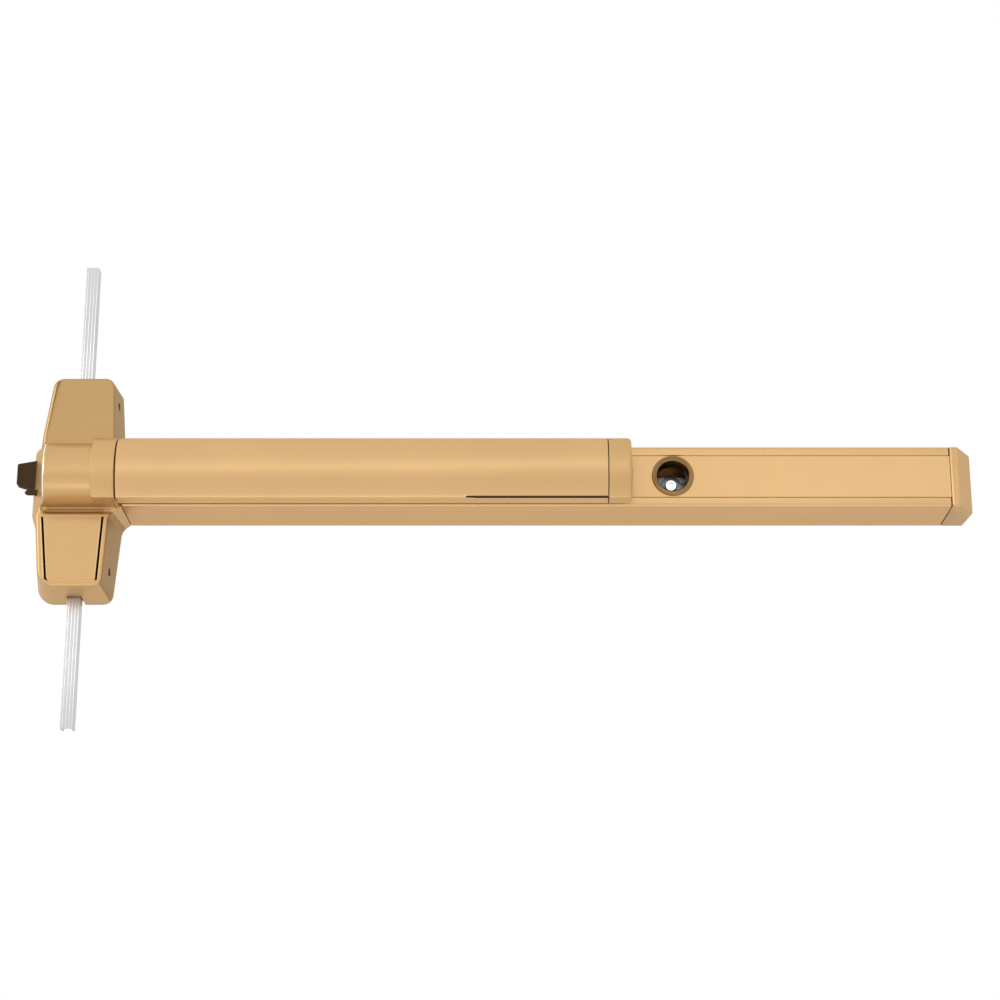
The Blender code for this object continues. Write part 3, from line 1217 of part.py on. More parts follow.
def rod_lever(name, side):
    """Two-armed lever on a pin from the chassis: the retractor swings one arm, the other moves a rod."""
    pivot = (LEVER_PIVOT_X, side * LEVER_PIVOT_Z)
    origin = (LEVER_PIVOT_X, -LEVER_REAR, side * LEVER_PIVOT_Z)
    swing = LEVER_SWING
    down = (pivot[0] - LEVER_ARM * math.sin(swing), pivot[1] - side * LEVER_ARM * math.cos(swing))
    across = (pivot[0] - LEVER_ARM * math.cos(swing), pivot[1] + side * LEVER_ARM * math.sin(swing))
    width = LEVER_ARM_WIDTH / 2
    lever = extruded(name, slot_outline(pivot, down, width), "Y", -LEVER_FRONT, -LEVER_REAR, steel(), origin)
    other = slot_outline(pivot, across, width)
    join(lever, extruded(name + "_across", other, "Y", -LEVER_FRONT, -LEVER_REAR, steel()))
    radius = ARM_PIN_RADIUS
    middle = -(LEVER_FRONT + LEVER_REAR) / 2
    join(lever, rod_of(name + "_stud", radius, "Y", down, middle, -RETRACTOR_REAR, steel()))
    front = -CONNECTOR_FRONT - SLIDE_GAP
    join(lever, rod_of(name + "_rod_stud", radius, "Y", across, front, middle, steel()))
    bore = LEVER_PIN_RADIUS + SEAT_GAP
    ends = (-LEVER_FRONT - LEVER_THICKNESS, -LEVER_REAR + LEVER_THICKNESS)
    return cut(lever, rod_of(name + "_bore", bore, "Y", pivot, *ends, steel()))


def lever_pin(name, side):
    """Shouldered pin, from the chassis plate through the lever."""
    centre = (LEVER_PIVOT_X, side * LEVER_PIVOT_Z)
    foot = -CHASSIS_THICKNESS - SEAT_GAP
    shoulder = -LEVER_REAR + SEAT_GAP
    head = -LEVER_FRONT - SEAT_GAP
    radius = LEVER_PIN_RADIUS
    profile = [(radius + PIN_HEAD, foot), (radius + PIN_HEAD, shoulder), (radius, shoulder), (radius, head)]
    profile += [(radius + PIN_HEAD, head), (radius + PIN_HEAD, head - PIN_TAIL)]
    return turned(name, profile, "Y", centre, steel(), steps=16)


def rod_connector(name, side):
    """Flat connector: a cross slot for the lever's stud and a tongue that fills the rod's end."""
    z = LEVER_PIVOT_Z + LEVER_ARM * math.sin(LEVER_SWING)
    stud_x = LEVER_PIVOT_X - LEVER_PIN_RISE
    slack = LEVER_ARM - LEVER_PIN_RISE
    wide = CONNECTOR_HALF_WIDTH
    shoulder = z + CONNECTOR_HALF_HEAD
    neck = z + CONNECTOR_SHOULDER
    narrow = ROD_WIDTH / 2 - ROD_WALL - SEAT_GAP
    low = z - CONNECTOR_HALF_HEAD
    outline = [(ROD_X - wide, low), (ROD_X + wide, low), (ROD_X + wide, shoulder), (ROD_X + narrow, neck)]
    outline += [(ROD_X + narrow, CONNECTOR_TONGUE), (ROD_X - narrow, CONNECTOR_TONGUE)]
    outline += [(ROD_X - narrow, neck), (ROD_X - wide, shoulder)]
    outline = [(x, side * height) for x, height in outline]
    plate = extruded(name, outline, "Y", -CONNECTOR_FRONT, -CONNECTOR_REAR, steel())
    radius = ARM_PIN_RADIUS + SLIDE_GAP
    slot = slot_outline((stud_x - slack, side * z), (stud_x, side * z), radius)
    ends = (-CONNECTOR_FRONT - CONNECTOR_THICKNESS, -CONNECTOR_REAR + CONNECTOR_THICKNESS)
    cut(plate, extruded(name + "_slot", slot, "Y", *ends, steel()))
    return cut(plate, rod_pin_bore(name, side))


def rod_pin_bore(name, side):
    """The cross bore for the pin that holds a rod on its connector."""
    centre = (-(CONNECTOR_FRONT + CONNECTOR_REAR) / 2, side * ROD_PIN_Z)
    ends = (ROD_X - ROD_WIDTH, ROD_X + ROD_WIDTH)
    return rod_of(name + "_bore", ROD_PIN_RADIUS + PIN_GAP, "X", centre, *ends, steel(), steps=10)


def rod_outline():
    """Section of a rod: a channel open to the door, its front ribbed lengthwise."""
    half = ROD_WIDTH / 2
    front = -ROD_FRONT_DEPTH
    rear = -ROD_REAR_DEPTH
    soft = 2 * ROD_RIB
    pitch = (ROD_WIDTH - 2 * soft) / ROD_RIBS
    outline = [(ROD_X - half, rear), (ROD_X - half, front + soft), (ROD_X - half + soft, front)]
    for rib in range(1, ROD_RIBS):
        x = ROD_X - half + soft + rib * pitch
        outline += [(x - ROD_RIB, front), (x, front + ROD_RIB), (x + ROD_RIB, front)]
    outline += [(ROD_X + half - soft, front), (ROD_X + half, front + soft), (ROD_X + half, rear)]
    inner = half - ROD_WALL
    outline += [(ROD_X + inner, rear), (ROD_X + inner, front + ROD_WALL)]
    outline += [(ROD_X - inner, front + ROD_WALL), (ROD_X - inner, rear)]
    return outline


def door_rod(name, side, end):
    """A rod from its connector to its far end, with the cross bore for its pin."""
    rod = extruded(name, rod_outline(), "Z", side * ROD_INNER_END, end, aluminium())
    return cut(rod, rod_pin_bore(name, side))


def rod_pin(name, side):
    y = -(CONNECTOR_FRONT + CONNECTOR_REAR) / 2
    half = ROD_WIDTH / 2
    centre = (y, side * ROD_PIN_Z)
    return rod_of(name, ROD_PIN_RADIUS, "X", centre, ROD_X - half, ROD_X + half, steel(), steps=10)


def rod_guide(name, side):
    """Nylon block on the chassis plate with a square bore for the rod."""
    half = ROD_WIDTH / 2 + SLIDE_GAP
    wall = GUIDE_WALL
    foot = -CHASSIS_THICKNESS - SEAT_GAP
    low, high = sorted((side * GUIDE_LOW, side * GUIDE_HIGH))
    low_corner = (ROD_X - half - wall, -ROD_FRONT_DEPTH - SLIDE_GAP - wall, low)
    guide = block(name, low_corner, (ROD_X + half + wall, foot, high), plastic())
    low_corner = (ROD_X - half, -ROD_FRONT_DEPTH - SLIDE_GAP, low - wall)
    high_corner = (ROD_X + half, -ROD_REAR_DEPTH + SLIDE_GAP, high + wall)
    return cut(guide, block(name + "_bore", low_corner, high_corner, steel()))


# Latch


def deadlatch_z():
    return BOLT_ROOT_BOTTOM - SLIDE_GAP - LATCH_GUIDE_SHEET - SLIDE_GAP - DEADLATCH_RADIUS


def latch_bolt():
    """Cast bolt with a drafted tip and a pocket behind for the retractor's finger."""
    front = -BOLT_FRONT_DEPTH
    rear = -BOLT_REAR_DEPTH
    outline = [(BOLT_TAIL_X, BOLT_ROOT_BOTTOM), (BOLT_TAIL_X, BOLT_ROOT_TOP), (BOLT_ROOT_X, BOLT_ROOT_TOP)]
    soft = BOLT_SOFT_EDGE
    outline += [(BOLT_TIP_X + soft, BOLT_TIP_TOP), (BOLT_TIP_X, BOLT_TIP_TOP - soft)]
    outline += [(BOLT_TIP_X, BOLT_TIP_BOTTOM + soft), (BOLT_TIP_X + soft, BOLT_TIP_BOTTOM)]
    outline += [(BOLT_ROOT_X, BOLT_ROOT_BOTTOM)]
    bolt = extruded("latch_bolt", outline, "Y", front, rear, dark_steel())
    past = BOLT_TIP_X - soft
    slope = [(past, rear + soft), (past, rear - BOLT_SLOPE_DEPTH), (BOLT_ROOT_X + soft, rear + soft)]
    ends = (BOLT_ROOT_BOTTOM - soft, BOLT_ROOT_TOP + soft)
    cut(bolt, extruded("strike_slope", slope, "Z", *ends, steel()))
    low_corner = (FINGER_X - BOLT_POCKET, -FINGER_DEPTH - SLIDE_GAP, FINGER_LOW - SLIDE_GAP)
    high_corner = (FINGER_X + SEAT_GAP, rear + soft, FINGER_HIGH + SLIDE_GAP)
    return cut(bolt, block("finger_pocket", low_corner, high_corner, steel()))


def latch_guide():
    """Folded channel on the chassis plate that the bolt slides in."""
    rear = -CHASSIS_THICKNESS - SEAT_GAP
    sheet = LATCH_GUIDE_SHEET
    low = BOLT_ROOT_BOTTOM - SLIDE_GAP
    high = BOLT_ROOT_TOP + SLIDE_GAP
    front = -BOLT_FRONT_DEPTH + WINDOW_OVERLAP
    lip = -DEADLATCH_DEPTH - DEADLATCH_RADIUS
    outline = [(rear, low - sheet), (rear, high + sheet), (front, high + sheet), (front, high)]
    outline += [(rear - sheet, high), (rear - sheet, low), (lip, low), (lip, low - sheet)]
    return extruded("latch_guide", outline, "X", LATCH_GUIDE_START_X, LATCH_GUIDE_END_X, steel())


def deadlatch():
    """Small round-nosed plunger under the bolt, held in by the strike when the door is shut."""
    centre = (-DEADLATCH_DEPTH, deadlatch_z())
    radius = DEADLATCH_RADIUS
    turns = np.radians((80, 50, 20))
    profile = [(radius * math.cos(a), DEADLATCH_TIP_X + radius * (1 - math.sin(a))) for a in turns]
    profile += [(radius, DEADLATCH_TIP_X + radius), (radius, DEADLATCH_TAIL_X)]
    return turned("deadlatch", profile, "X", centre, dark_steel(), steps=16)


def deadlatch_saddle():
    """Nylon eye under the guide's lower leaf that the deadlatch slides in."""
    z = deadlatch_z()
    radius = DEADLATCH_RADIUS + SLIDE_GAP
    top = BOLT_ROOT_BOTTOM - SLIDE_GAP - LATCH_GUIDE_SHEET - SEAT_GAP
    wall = SADDLE_WALL
    low_corner = (LATCH_GUIDE_START_X + SADDLE_SETBACK, -DEADLATCH_DEPTH - radius - wall, z - radius - wall)
    high_corner = (LATCH_GUIDE_END_X - SADDLE_SETBACK, -DEADLATCH_DEPTH + radius + wall, top)
    saddle = block("deadlatch_saddle", low_corner, high_corner, plastic())
    centre = (-DEADLATCH_DEPTH, z)
    ends = (LATCH_GUIDE_START_X, LATCH_GUIDE_END_X)
    return cut(saddle, rod_of("saddle_bore", radius, "X", centre, *ends, steel()))


def build():
    for old in list(bpy.data.objects):
        bpy.data.objects.remove(old, do_unlink=True)
    chassis_plate()
    center_case_cover()
    cover_screw("cover_screw_upper", COVER_SCREW_UPPER_Z)
    cover_screw("cover_screw_lower", COVER_SCREW_LOWER_Z)
    rail()
    filler_plate()
    cylinder_ring()
    dogging_bracket()
    dogging_cam()
    end_cap()
    end_cap_bracket()
    end_cap_screw()
    push_pad()
    pad_end_cap()
    mechanism_base()
    for side, pivot_x in zip(("left", "right"), CRANK_X):
        pad_bracket("pad_bracket_" + side, pivot_x)
        pad_pin("pad_pin_" + side, pivot_x)
        bell_crank("bell_crank_" + side, pivot_x)
        crank_pin("crank_pin_" + side, pivot_x)
        link_pin("link_pin_" + side, pivot_x)
    actuator_link()
    retractor()
    link_rivet()
    for name, side, end in (("top", 1, TOP_ROD_END), ("bottom", -1, BOTTOM_ROD_END)):
        rod_lever(name + "_rod_lever", side)
        lever_pin(name + "_lever_pin", side)
        rod_connector(name + "_rod_connector", side)
        door_rod(name + "_rod", side, end)
        rod_pin(name + "_rod_pin", side)
        rod_guide(name + "_rod_guide", side)
    latch_bolt()
    latch_guide()
    deadlatch()
    deadlatch_saddle()


build()
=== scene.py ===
"""Looks of a vertical rod exit device in satin bronze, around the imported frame.

Metres, +Z up. X runs along the rail, +Y points into the door and the door's face is Y = 0.
"""

import json
import math

import bmesh
import bpy
import numpy as np
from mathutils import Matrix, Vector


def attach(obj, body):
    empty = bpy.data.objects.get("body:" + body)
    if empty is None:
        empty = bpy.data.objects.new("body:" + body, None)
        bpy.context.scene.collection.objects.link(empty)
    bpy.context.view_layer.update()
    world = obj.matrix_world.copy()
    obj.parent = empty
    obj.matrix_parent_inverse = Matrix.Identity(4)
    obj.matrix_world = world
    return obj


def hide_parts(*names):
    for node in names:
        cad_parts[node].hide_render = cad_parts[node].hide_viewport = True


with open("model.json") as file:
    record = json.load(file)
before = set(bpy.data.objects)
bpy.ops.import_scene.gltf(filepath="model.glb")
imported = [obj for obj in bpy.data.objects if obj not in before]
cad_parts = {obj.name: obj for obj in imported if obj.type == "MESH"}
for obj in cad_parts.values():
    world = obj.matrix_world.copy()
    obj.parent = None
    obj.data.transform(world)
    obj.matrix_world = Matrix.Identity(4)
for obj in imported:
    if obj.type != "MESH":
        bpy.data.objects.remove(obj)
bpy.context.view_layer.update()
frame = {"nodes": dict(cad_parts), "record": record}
nodes = frame["nodes"]

# Camera: below the device, looking up at it by the rise in degrees
CAMERA_PLACE = (0.3888, -2.0313, -0.6522)
CAMERA_RISE = 17.712
LENS = 82.21
SENSOR = 36.0

FLOOR_Z = -0.70
FLOOR_HALF = 6.0
WORLD_LIGHT = 0.95

# Each lamp: name, place, aim, width, height, watts, and roll in degrees
LAMPS = (
    ("front_softbox", (0.45, -2.4, 0.60), (0.42, -0.05, 0.0), 2.4, 0.55, 2.6, 20),
    ("side_strip", (-1.5, -1.0, 0.5), (0.0, -0.08, 0.0), 0.7, 1.2, 8.0, 0),
    ("low_strip", (0.4, -0.40, -0.62), (0.4, -0.06, -0.03), 1.6, 0.20, 1.0, 0),
)

# Gaps and steps that all pieces share
SEAT_GAP = 0.0003
SEAM_SHADE_WIDTH = 0.0009
STEP = 0.00005
HEIGHT_CLEARANCE = 0.00012
FINE_EDGE = 0.0004
END_TURNS = (0, 30, 60, 90)

# The case; most of its sizes are those of the part's source
CASE_TOP = 0.0984
CASE_BOTTOM = -0.1048
CASE_DEPTH = 0.060
COVER_WALL = 0.0025
TOP_DRAFT = 0.0010
BOTTOM_DRAFT = 0.0016
TOP_EDGE_RADIUS = 0.0090
BOTTOM_EDGE_RADIUS = 0.0040
LEFT_EDGE_RADIUS = 0.0036
RIGHT_EDGE_RADIUS = 0.0025
TOP_LEFT_CORNER_RADIUS = 0.0105
TOP_RIGHT_DOOR_RADIUS = 0.0020
TOP_RIGHT_CORNER_RADIUS = 0.0100
LEFT_CORNER_RADIUS = 0.0150
RIGHT_CORNER_RADIUS = 0.0085
LEFT_BASE_X = -0.0432
LEFT_FRONT_X = -0.0313
RIGHT_BASE_X = 0.0373
RIGHT_FRONT_UPPER_X = 0.0360
RIGHT_FRONT_LOWER_X = 0.0345
TAPER_START = 0.0400
LEFT_BASE_START_LOWER = 0.0300
LEFT_BASE_SLOPE_UPPER = 0.165
LEFT_BASE_SLOPE_LOWER = 0.100
LEFT_FRONT_SLOPE = 0.088
LEFT_FRONT_UPPER_X = -0.0285
LEFT_FRONT_SLOPE_UPPER = 0.140
RIGHT_BASE_SLOPE = 0.082
RIGHT_FRONT_SLOPE_UPPER = 0.055
RIGHT_FRONT_SLOPE_LOWER = 0.050

# Raised band and nose
BAND_HALF_HEIGHT = 0.0293
BAND_LEFT_FRONT_X = -0.0207
BAND_SIDE_LEAN = 0.38
BAND_SIDE_TURN = 0.30
BAND_SIDE_END = 0.80
BAND_SHOULDER = 0.0090
BAND_SHOULDER_INSET = 0.0005
BAND_FOOT = 0.0090
BAND_RISE = 0.0358
BAND_POWER_UPPER = 2.0
BAND_POWER_LOWER = 2.4
BAND_EDGE_RADIUS = 0.0022
NOSE_LEFT_X = 0.0225
NOSE_RIGHT_X = 0.0435
NOSE_CORNER_RADIUS = 0.0032
NOSE_EDGE_RADIUS = 0.0010
NOSE_SOFT = 0.0006
FLARE_HEIGHT = 0.0130
FLARE_POWER = 2.6

# Valley, lower panel and its two creases
VALLEY_DEPTH = 0.0036
VALLEY_HALF_WIDTH = 0.0042
VALLEY_Z = -0.0324
VALLEY_LEFT_X = -0.0270
VALLEY_FADE = 0.0060
CREASE_TOP_Z = -0.0375
CREASE_BOTTOM_Z = -0.0985
LEFT_CREASE = (-0.0252, -0.0188)
RIGHT_CREASE = (0.0296, 0.0266)
CREASE_OVERRUN = 0.1
CREASE_WIDTH = 0.0021
CREASE_DEPTH = 0.0032
CREASE_LIP = 0.00025
CREASE_POINT = 0.0030
PANEL_TOP_Z = -0.0385
PANEL_BOTTOM_Z = -0.0985
PANEL_RISE = 0.0004
PANEL_SOFT = 0.0060
UPPER_CASE_LEAN = 0.035

# Shares of a crease's width: flat bottom, edge, middle and spread of the lip, bottom with painted shade,
# margin
GROOVE_FLAT = 0.22
GROOVE_EDGE = 0.50
LIP_PLACE = 0.72
LIP_SPREAD = 0.16
GROOVE_SHARE = 0.46
CREASE_MARGIN = 1.05
CREASE_OFFSETS = (0.22, 0.36, 0.5, 0.6, 0.72, 0.85, 1.0)

# Where the cover's faces get painted shade or a painted highlight
FRONT_SHARE = 0.9
BAND_LINE = (0.0308, 0.0318)
# A painted highlight along the band's left front edge
EDGE_HIGHLIGHT_DEPTH = 0.0700
EDGE_HIGHLIGHT_FOOT = -0.0260
EDGE_HIGHLIGHT_NORMALS = (-0.85, -0.25)
EDGE_HIGHLIGHT_WIDTH = 0.0044
SHADED_FLANK_NORMAL = 0.7
# Painted shade over the case above the band: from this height, over a soft step, down to a share of its
# colour
SHADE_FROM_Z = 0.0290
SHADE_SOFT = 0.0040
SHADE_SHARE = 0.84

# Openings of the cover; the depths are those of its left side's columns
BOLT_WINDOW = (-0.0067, 0.0217)
DEADLATCH_Z = -0.0116
DEADLATCH_WINDOW = 0.0031
LEFT_DEPTHS = (0, 0.005, 0.010, 0.015, 0.0205, 0.026, 0.0315, 0.037, 0.0425, 0.0444, 0.0475, 0.0506)
BOLT_COLUMNS = (4, 8)
DEADLATCH_COLUMNS = (9, 11)
RIGHT_SHARES = (0.0, 0.0467, 0.15, 0.3, 0.45, 0.6, 0.75, 0.9, 1.0)
GREATEST_EDGE_SHARE = 0.8
NECK_HALF = 0.0258
NOTCH_HALF = 0.00675
NOTCH_DEPTH = 0.0265

# Rail and end cap
RAIL_START_X = 0.0458
RAIL_END_X = 0.7987
RAIL_HALF_HEIGHT = 0.0286
RAIL_DEPTH = 0.060
RAIL_WALL = 0.0028
RAIL_EDGE_RADIUS = 0.0030
RAIL_END_SOFT = 0.0010
MOUTH_HALF = 0.0200
LEDGE_HALF = 0.0176
LEDGE_THICKNESS = 0.0018
PLATE_THICKNESS = 0.0020
CAP_FRONT_LENGTH = 0.0078
CAP_CORNER_X = 0.8219
CAP_CORNER_DEPTH = 0.0350
CAP_END_X = 0.8197
CAP_BEVEL = 0.0022
CAP_WALL = 0.0025
CAP_CORNER_SOFT = 0.0014

# Push pad
PAD_START_X = 0.0447
PAD_END_X = 0.4862
PAD_CAP_END_X = 0.5072
PAD_HALF_HEIGHT = 0.0295
PAD_LOWER_EDGE = 0.0315
PAD_CREASE_Z = 0.0290
PAD_WALL = 0.0022
PAD_LEG_HALF = 0.0165
PAD_LEG_WALL = 0.0020
PAD_LEG_LEAD = 0.0020
PAD_LEG_START_X = 0.0470
PAD_LOW_TURN = -70
PAD_LIP_DEPTH = 0.0785
PAD_CREASE_DEPTH = 0.0880
PAD_FRONT_DEPTH = 0.0970
PAD_CAP_ROUNDING = 0.0034
PAD_END_SOFT = 0.0006
PAD_GROOVE_DEPTH = 0.00035
PAD_GROOVE_WIDTH = 0.0005
SLIT_START_X = 0.3560
SLIT_LEAD = 0.0120
SLIT_WIDTH = 0.0014
SLIT_DEPTH = 0.0012

# Cylinder ring; its hollow is given in from the rim, its inner roll out from the bore
RING_X = 0.5460
RING_Z = 0.0004
RING_RADIUS = 0.0190
RING_BORE = 0.0142
RING_PROUD = 0.0016
RING_EDGE = 0.0003
RING_ROLL = 0.0011
RING_ROLL_RISE = 0.0011
RING_HOLLOW = ((0.0020, 0.0004), (0.0028, 0.0006))
RING_INNER_ROLL = (
    (0.0026, 0.0006),
    (0.0020, 0.0001),
    (0.0014, 0.0000),
    (0.0008, 0.0003),
    (0.0002, 0.0011),
)
RING_BORE_EDGE = 0.0002
RING_SLEEVE_WALL = 0.0014
RING_SLEEVE_DEPTH = 0.0180

# Dogging cam
CAM_STEPS = 144
CAM_DEPTH = 0.0300
CAM_RADIUS = 0.0095
CAM_THICKNESS = 0.0030
CAM_ARM = 0.0140
CAM_ARM_RADIUS = 0.0035
CAM_PIVOT_Z = -0.0009
CAM_BOSS_RADIUS = 0.0052
CAM_BOSS_HEIGHT = 0.0030
CAM_SOCKET = 0.0030
CAM_SOCKET_EDGE = 0.0002
CAM_SOCKET_DEPTH = 0.0012
CAM_SOFT = 0.0004

# Rods
ROD_X = 0.0008
ROD_WIDTH = 0.0117
ROD_FRONT_DEPTH = 0.0240
ROD_DEPTH = 0.0120
ROD_WALL = 0.0020
ROD_RIB = 0.00025
ROD_RIBS = 4
ROD_RIBBED_SHARE = 0.86
ROD_END_SOFT = 0.0002
ROD_INNER_END = 0.0480
TOP_ROD_END = 0.2215
BOTTOM_ROD_END = -0.2254

# Bolt, plunger and screws
BOLT_TIP_X = -0.0545
BOLT_TAIL_X = -0.0200
BOLT_FRONT_DEPTH = 0.0420
BOLT_REAR_DEPTH = 0.0210
BOLT_ROOT_TOP = 0.0212
BOLT_ROOT_BOTTOM = -0.0062
BOLT_TIP_TOP = 0.0180
BOLT_TIP_BOTTOM = -0.0016
BOLT_ROOT_X = -0.0370
BOLT_SLOPE_DEPTH = 0.0110
BOLT_SOFT_EDGE = 0.0008
BOLT_CORNER_SOFT = 0.0012
DEADLATCH_TIP_X = -0.0450
DEADLATCH_TAIL_X = -0.0160
DEADLATCH_DEPTH = 0.0475
DEADLATCH_RADIUS = 0.0026
DEADLATCH_NOSE = 1.4
SCREW_DEPTH = 0.0300
SCREW_UPPER_Z = 0.0770
SCREW_LOWER_Z = -0.0815
SCREW_LENGTH = 0.0080
SCREW_RADIUS = 0.0021
SCREW_HEAD_RADIUS = 0.0040
SCREW_HEAD_LENGTH = 0.0030
SCREW_SKIRT_WALL = 0.0004
SCREW_SKIRT_PROUD = 0.0001
SCREW_GAP = 0.0002
SCREW_GAP_DEPTH = 0.0006
SCREW_DOME_FOOT = 0.0003
SCREW_DOME_RISE = 0.0006

# Finishes: dark and light tint, metallic, roughness from and to, stretch and scale of the grain
LOOKS = {
    "extruded_bronze": ((0.665, 0.422, 0.198), (0.695, 0.442, 0.21), 0.85, 0.32, 0.4, (0.05, 1, 1), 2600),
    "cast_bronze": ((0.6, 0.378, 0.165), (0.63, 0.398, 0.177), 0.7, 0.34, 0.42, (1, 1, 0.4), 2200),
    "dark_steel": ((0.04, 0.022, 0.01), (0.062, 0.034, 0.015), 0.8, 0.4, 0.55, (1, 1, 1), 1500),
    "zinc_steel": ((0.5, 0.5, 0.49), (0.6, 0.6, 0.58), 1.0, 0.25, 0.4, (1, 1, 1), 1500),
    "rod_aluminium": ((0.6, 0.6, 0.61), (0.67, 0.67, 0.675), 1.0, 0.3, 0.42, (1, 1, 0.03), 2600),
    "black_nylon": ((0.012, 0.012, 0.013), (0.02, 0.02, 0.021), 0.0, 0.45, 0.6, (1, 1, 1), 1800),
    "bright_nickel": ((0.8, 0.78, 0.72), (0.86, 0.84, 0.8), 1.0, 0.1, 0.18, (1, 1, 1), 1200),
    "ring_dark_bronze": ((0.27, 0.165, 0.065), (0.34, 0.21, 0.085), 1.0, 0.24, 0.32, (1, 1, 1), 2200),
    "blued_steel": ((0.1, 0.11, 0.14), (0.22, 0.22, 0.24), 1.0, 0.1, 0.2, (1, 1, 1), 900),
    # Near black: painted shade in the bottoms of creases, the slit and seams
    "groove_painted_shade": ((0.006, 0.004, 0.002), (0.01, 0.007, 0.004), 0.0, 0.7, 0.9, (1, 1, 1), 1500),
    # Painted shade for the middle of the valley under the band
    "valley_painted_shade": ((0.4, 0.26, 0.115), (0.44, 0.285, 0.125), 0.7, 0.36, 0.44, (1, 1, 1), 2200),
    # Painted shade for the case's right flank
    "flank_painted_shade": ((0.365, 0.218, 0.074), (0.395, 0.238, 0.082), 0.7, 0.36, 0.44, (1, 1, 0.4), 2200),
    # A painted highlight, pale and glossy, for the band's left edge
    "painted_highlight_bronze": ((0.93, 0.84, 0.70), (0.97, 0.9, 0.78), 0.6, 0.22, 0.3, (1, 1, 0.4), 2200),
}
CLOUD_SCALE = 9.0
CLOUD_STOPS = (0.35, 0.65)
GRAIN_RANGE = (0.3, 0.7)
GRAIN_BUMP = 0.12
GRAIN_HEIGHT = 0.0002
# Painted shade and a painted highlight, in the order that marked() numbers them
MARKS = ("groove_painted_shade", "valley_painted_shade", "flank_painted_shade", "painted_highlight_bronze")


# Node helpers


def shader_of(name):
    """A new material and its Principled shader."""
    material = bpy.data.materials.new(name)
    material.use_nodes = True
    return material, material.node_tree.nodes["Principled BSDF"]


def add(owner, kind, **values):
    """A node of a material or world with the given input values."""
    node = owner.node_tree.nodes.new(kind)
    for key, value in values.items():
        node.inputs[key.replace("_", " ")].default_value = value
    return node


def wire(owner, out_socket, in_socket):
    """Joins two sockets of a material or world."""
    owner.node_tree.links.new(out_socket, in_socket)


def noise(material, stretch, scale, detail, roughness=0.5):
    """Noise on Object coordinates, stretched along an axis by its three scale factors."""
    place = add(material, "ShaderNodeTexCoord")
    mapping = add(material, "ShaderNodeMapping", Scale=stretch)
    wire(material, place.outputs["Object"], mapping.inputs["Vector"])
    texture = add(material, "ShaderNodeTexNoise", Scale=scale, Detail=detail, Roughness=roughness)
    wire(material, mapping.outputs["Vector"], texture.inputs["Vector"])
    return texture


def ramp(material, source, stops):
    """A colour ramp over two (position, colour) stops."""
    node = add(material, "ShaderNodeValToRGB")
    for element, (position, colour) in zip(node.color_ramp.elements, stops):
        element.position = position
        element.color = (*colour, 1)
    wire(material, source, node.inputs["Fac"])
    return node.outputs["Color"]


def spread(owner, source, start, end, low, high):
    """The source's range from start to end carried to low and high."""
    node = add(owner, "ShaderNodeMapRange", From_Min=start, From_Max=end, To_Min=low, To_Max=high)
    wire(owner, source, node.inputs["Value"])
    return node.outputs["Result"]


def bump(material, shader, source, strength, distance):
    """Raises the shader's surface by the source."""
    node = add(material, "ShaderNodeBump", Strength=strength, Distance=distance)
    wire(material, source, node.inputs["Height"])
    wire(material, node.outputs["Normal"], shader.inputs["Normal"])


# Materials


def satin_metal(name, dark, light, metallic, rough_low, rough_high, stretch, grain):
    """Brushed metal: slow colour clouds, a fine grain in roughness and bump."""
    material, shader = shader_of(name)
    clouds = noise(material, (1, 1, 1), CLOUD_SCALE, 3.0)
    tint = ramp(material, clouds.outputs["Fac"], zip(CLOUD_STOPS, (dark, light)))
    wire(material, tint, shader.inputs["Base Color"])
    shader.inputs["Metallic"].default_value = metallic
    shader.inputs["Specular Tint"].default_value = (*(0.5 + 0.5 * part for part in light), 1)
    fine = noise(material, stretch, grain, 3.0, 0.6)
    rough = spread(material, fine.outputs["Fac"], *GRAIN_RANGE, rough_low, rough_high)
    wire(material, rough, shader.inputs["Roughness"])
    bump(material, shader, fine.outputs["Fac"], GRAIN_BUMP, GRAIN_HEIGHT)
    return material


def painted_shade_above(material, height, soft, share):
    """Painted shade: scales the base colour to a share of itself above a height, over a soft step."""
    shader = material.node_tree.nodes["Principled BSDF"]
    colour = shader.inputs["Base Color"].links[0].from_socket
    place = add(material, "ShaderNodeTexCoord")
    parts = add(material, "ShaderNodeSeparateXYZ")
    wire(material, place.outputs["Object"], parts.inputs["Vector"])
    level = spread(material, parts.outputs["Z"], height, height + soft, 1.0, share)
    scaled = add(material, "ShaderNodeVectorMath")
    scaled.operation = "SCALE"
    wire(material, colour, scaled.inputs["Vector"])
    wire(material, level, scaled.inputs["Scale"])
    wire(material, scaled.outputs["Vector"], shader.inputs["Base Color"])


FINISHES = {name: satin_metal(name, *look) for name, look in LOOKS.items()}
# The case's own copy of cast bronze, with painted shade over its upper part
FINISHES["case_bronze_painted_shade"] = satin_metal("case_bronze_painted_shade", *LOOKS["cast_bronze"])
painted_shade_above(FINISHES["case_bronze_painted_shade"], SHADE_FROM_Z, SHADE_SOFT, SHADE_SHARE)


def dress_nodes():
    """Each CAD node gets the finish that the record names for it."""
    for subpart in frame["record"]["subparts"]:
        node = nodes[subpart["node"]]
        node.data.materials.clear()
        node.data.materials.append(FINISHES[subpart["material_slot"]])


# Mesh helpers


def placed(name, data):
    """An object with the given data, linked to the scene."""
    thing = bpy.data.objects.new(name, data)
    bpy.context.scene.collection.objects.link(thing)
    return thing


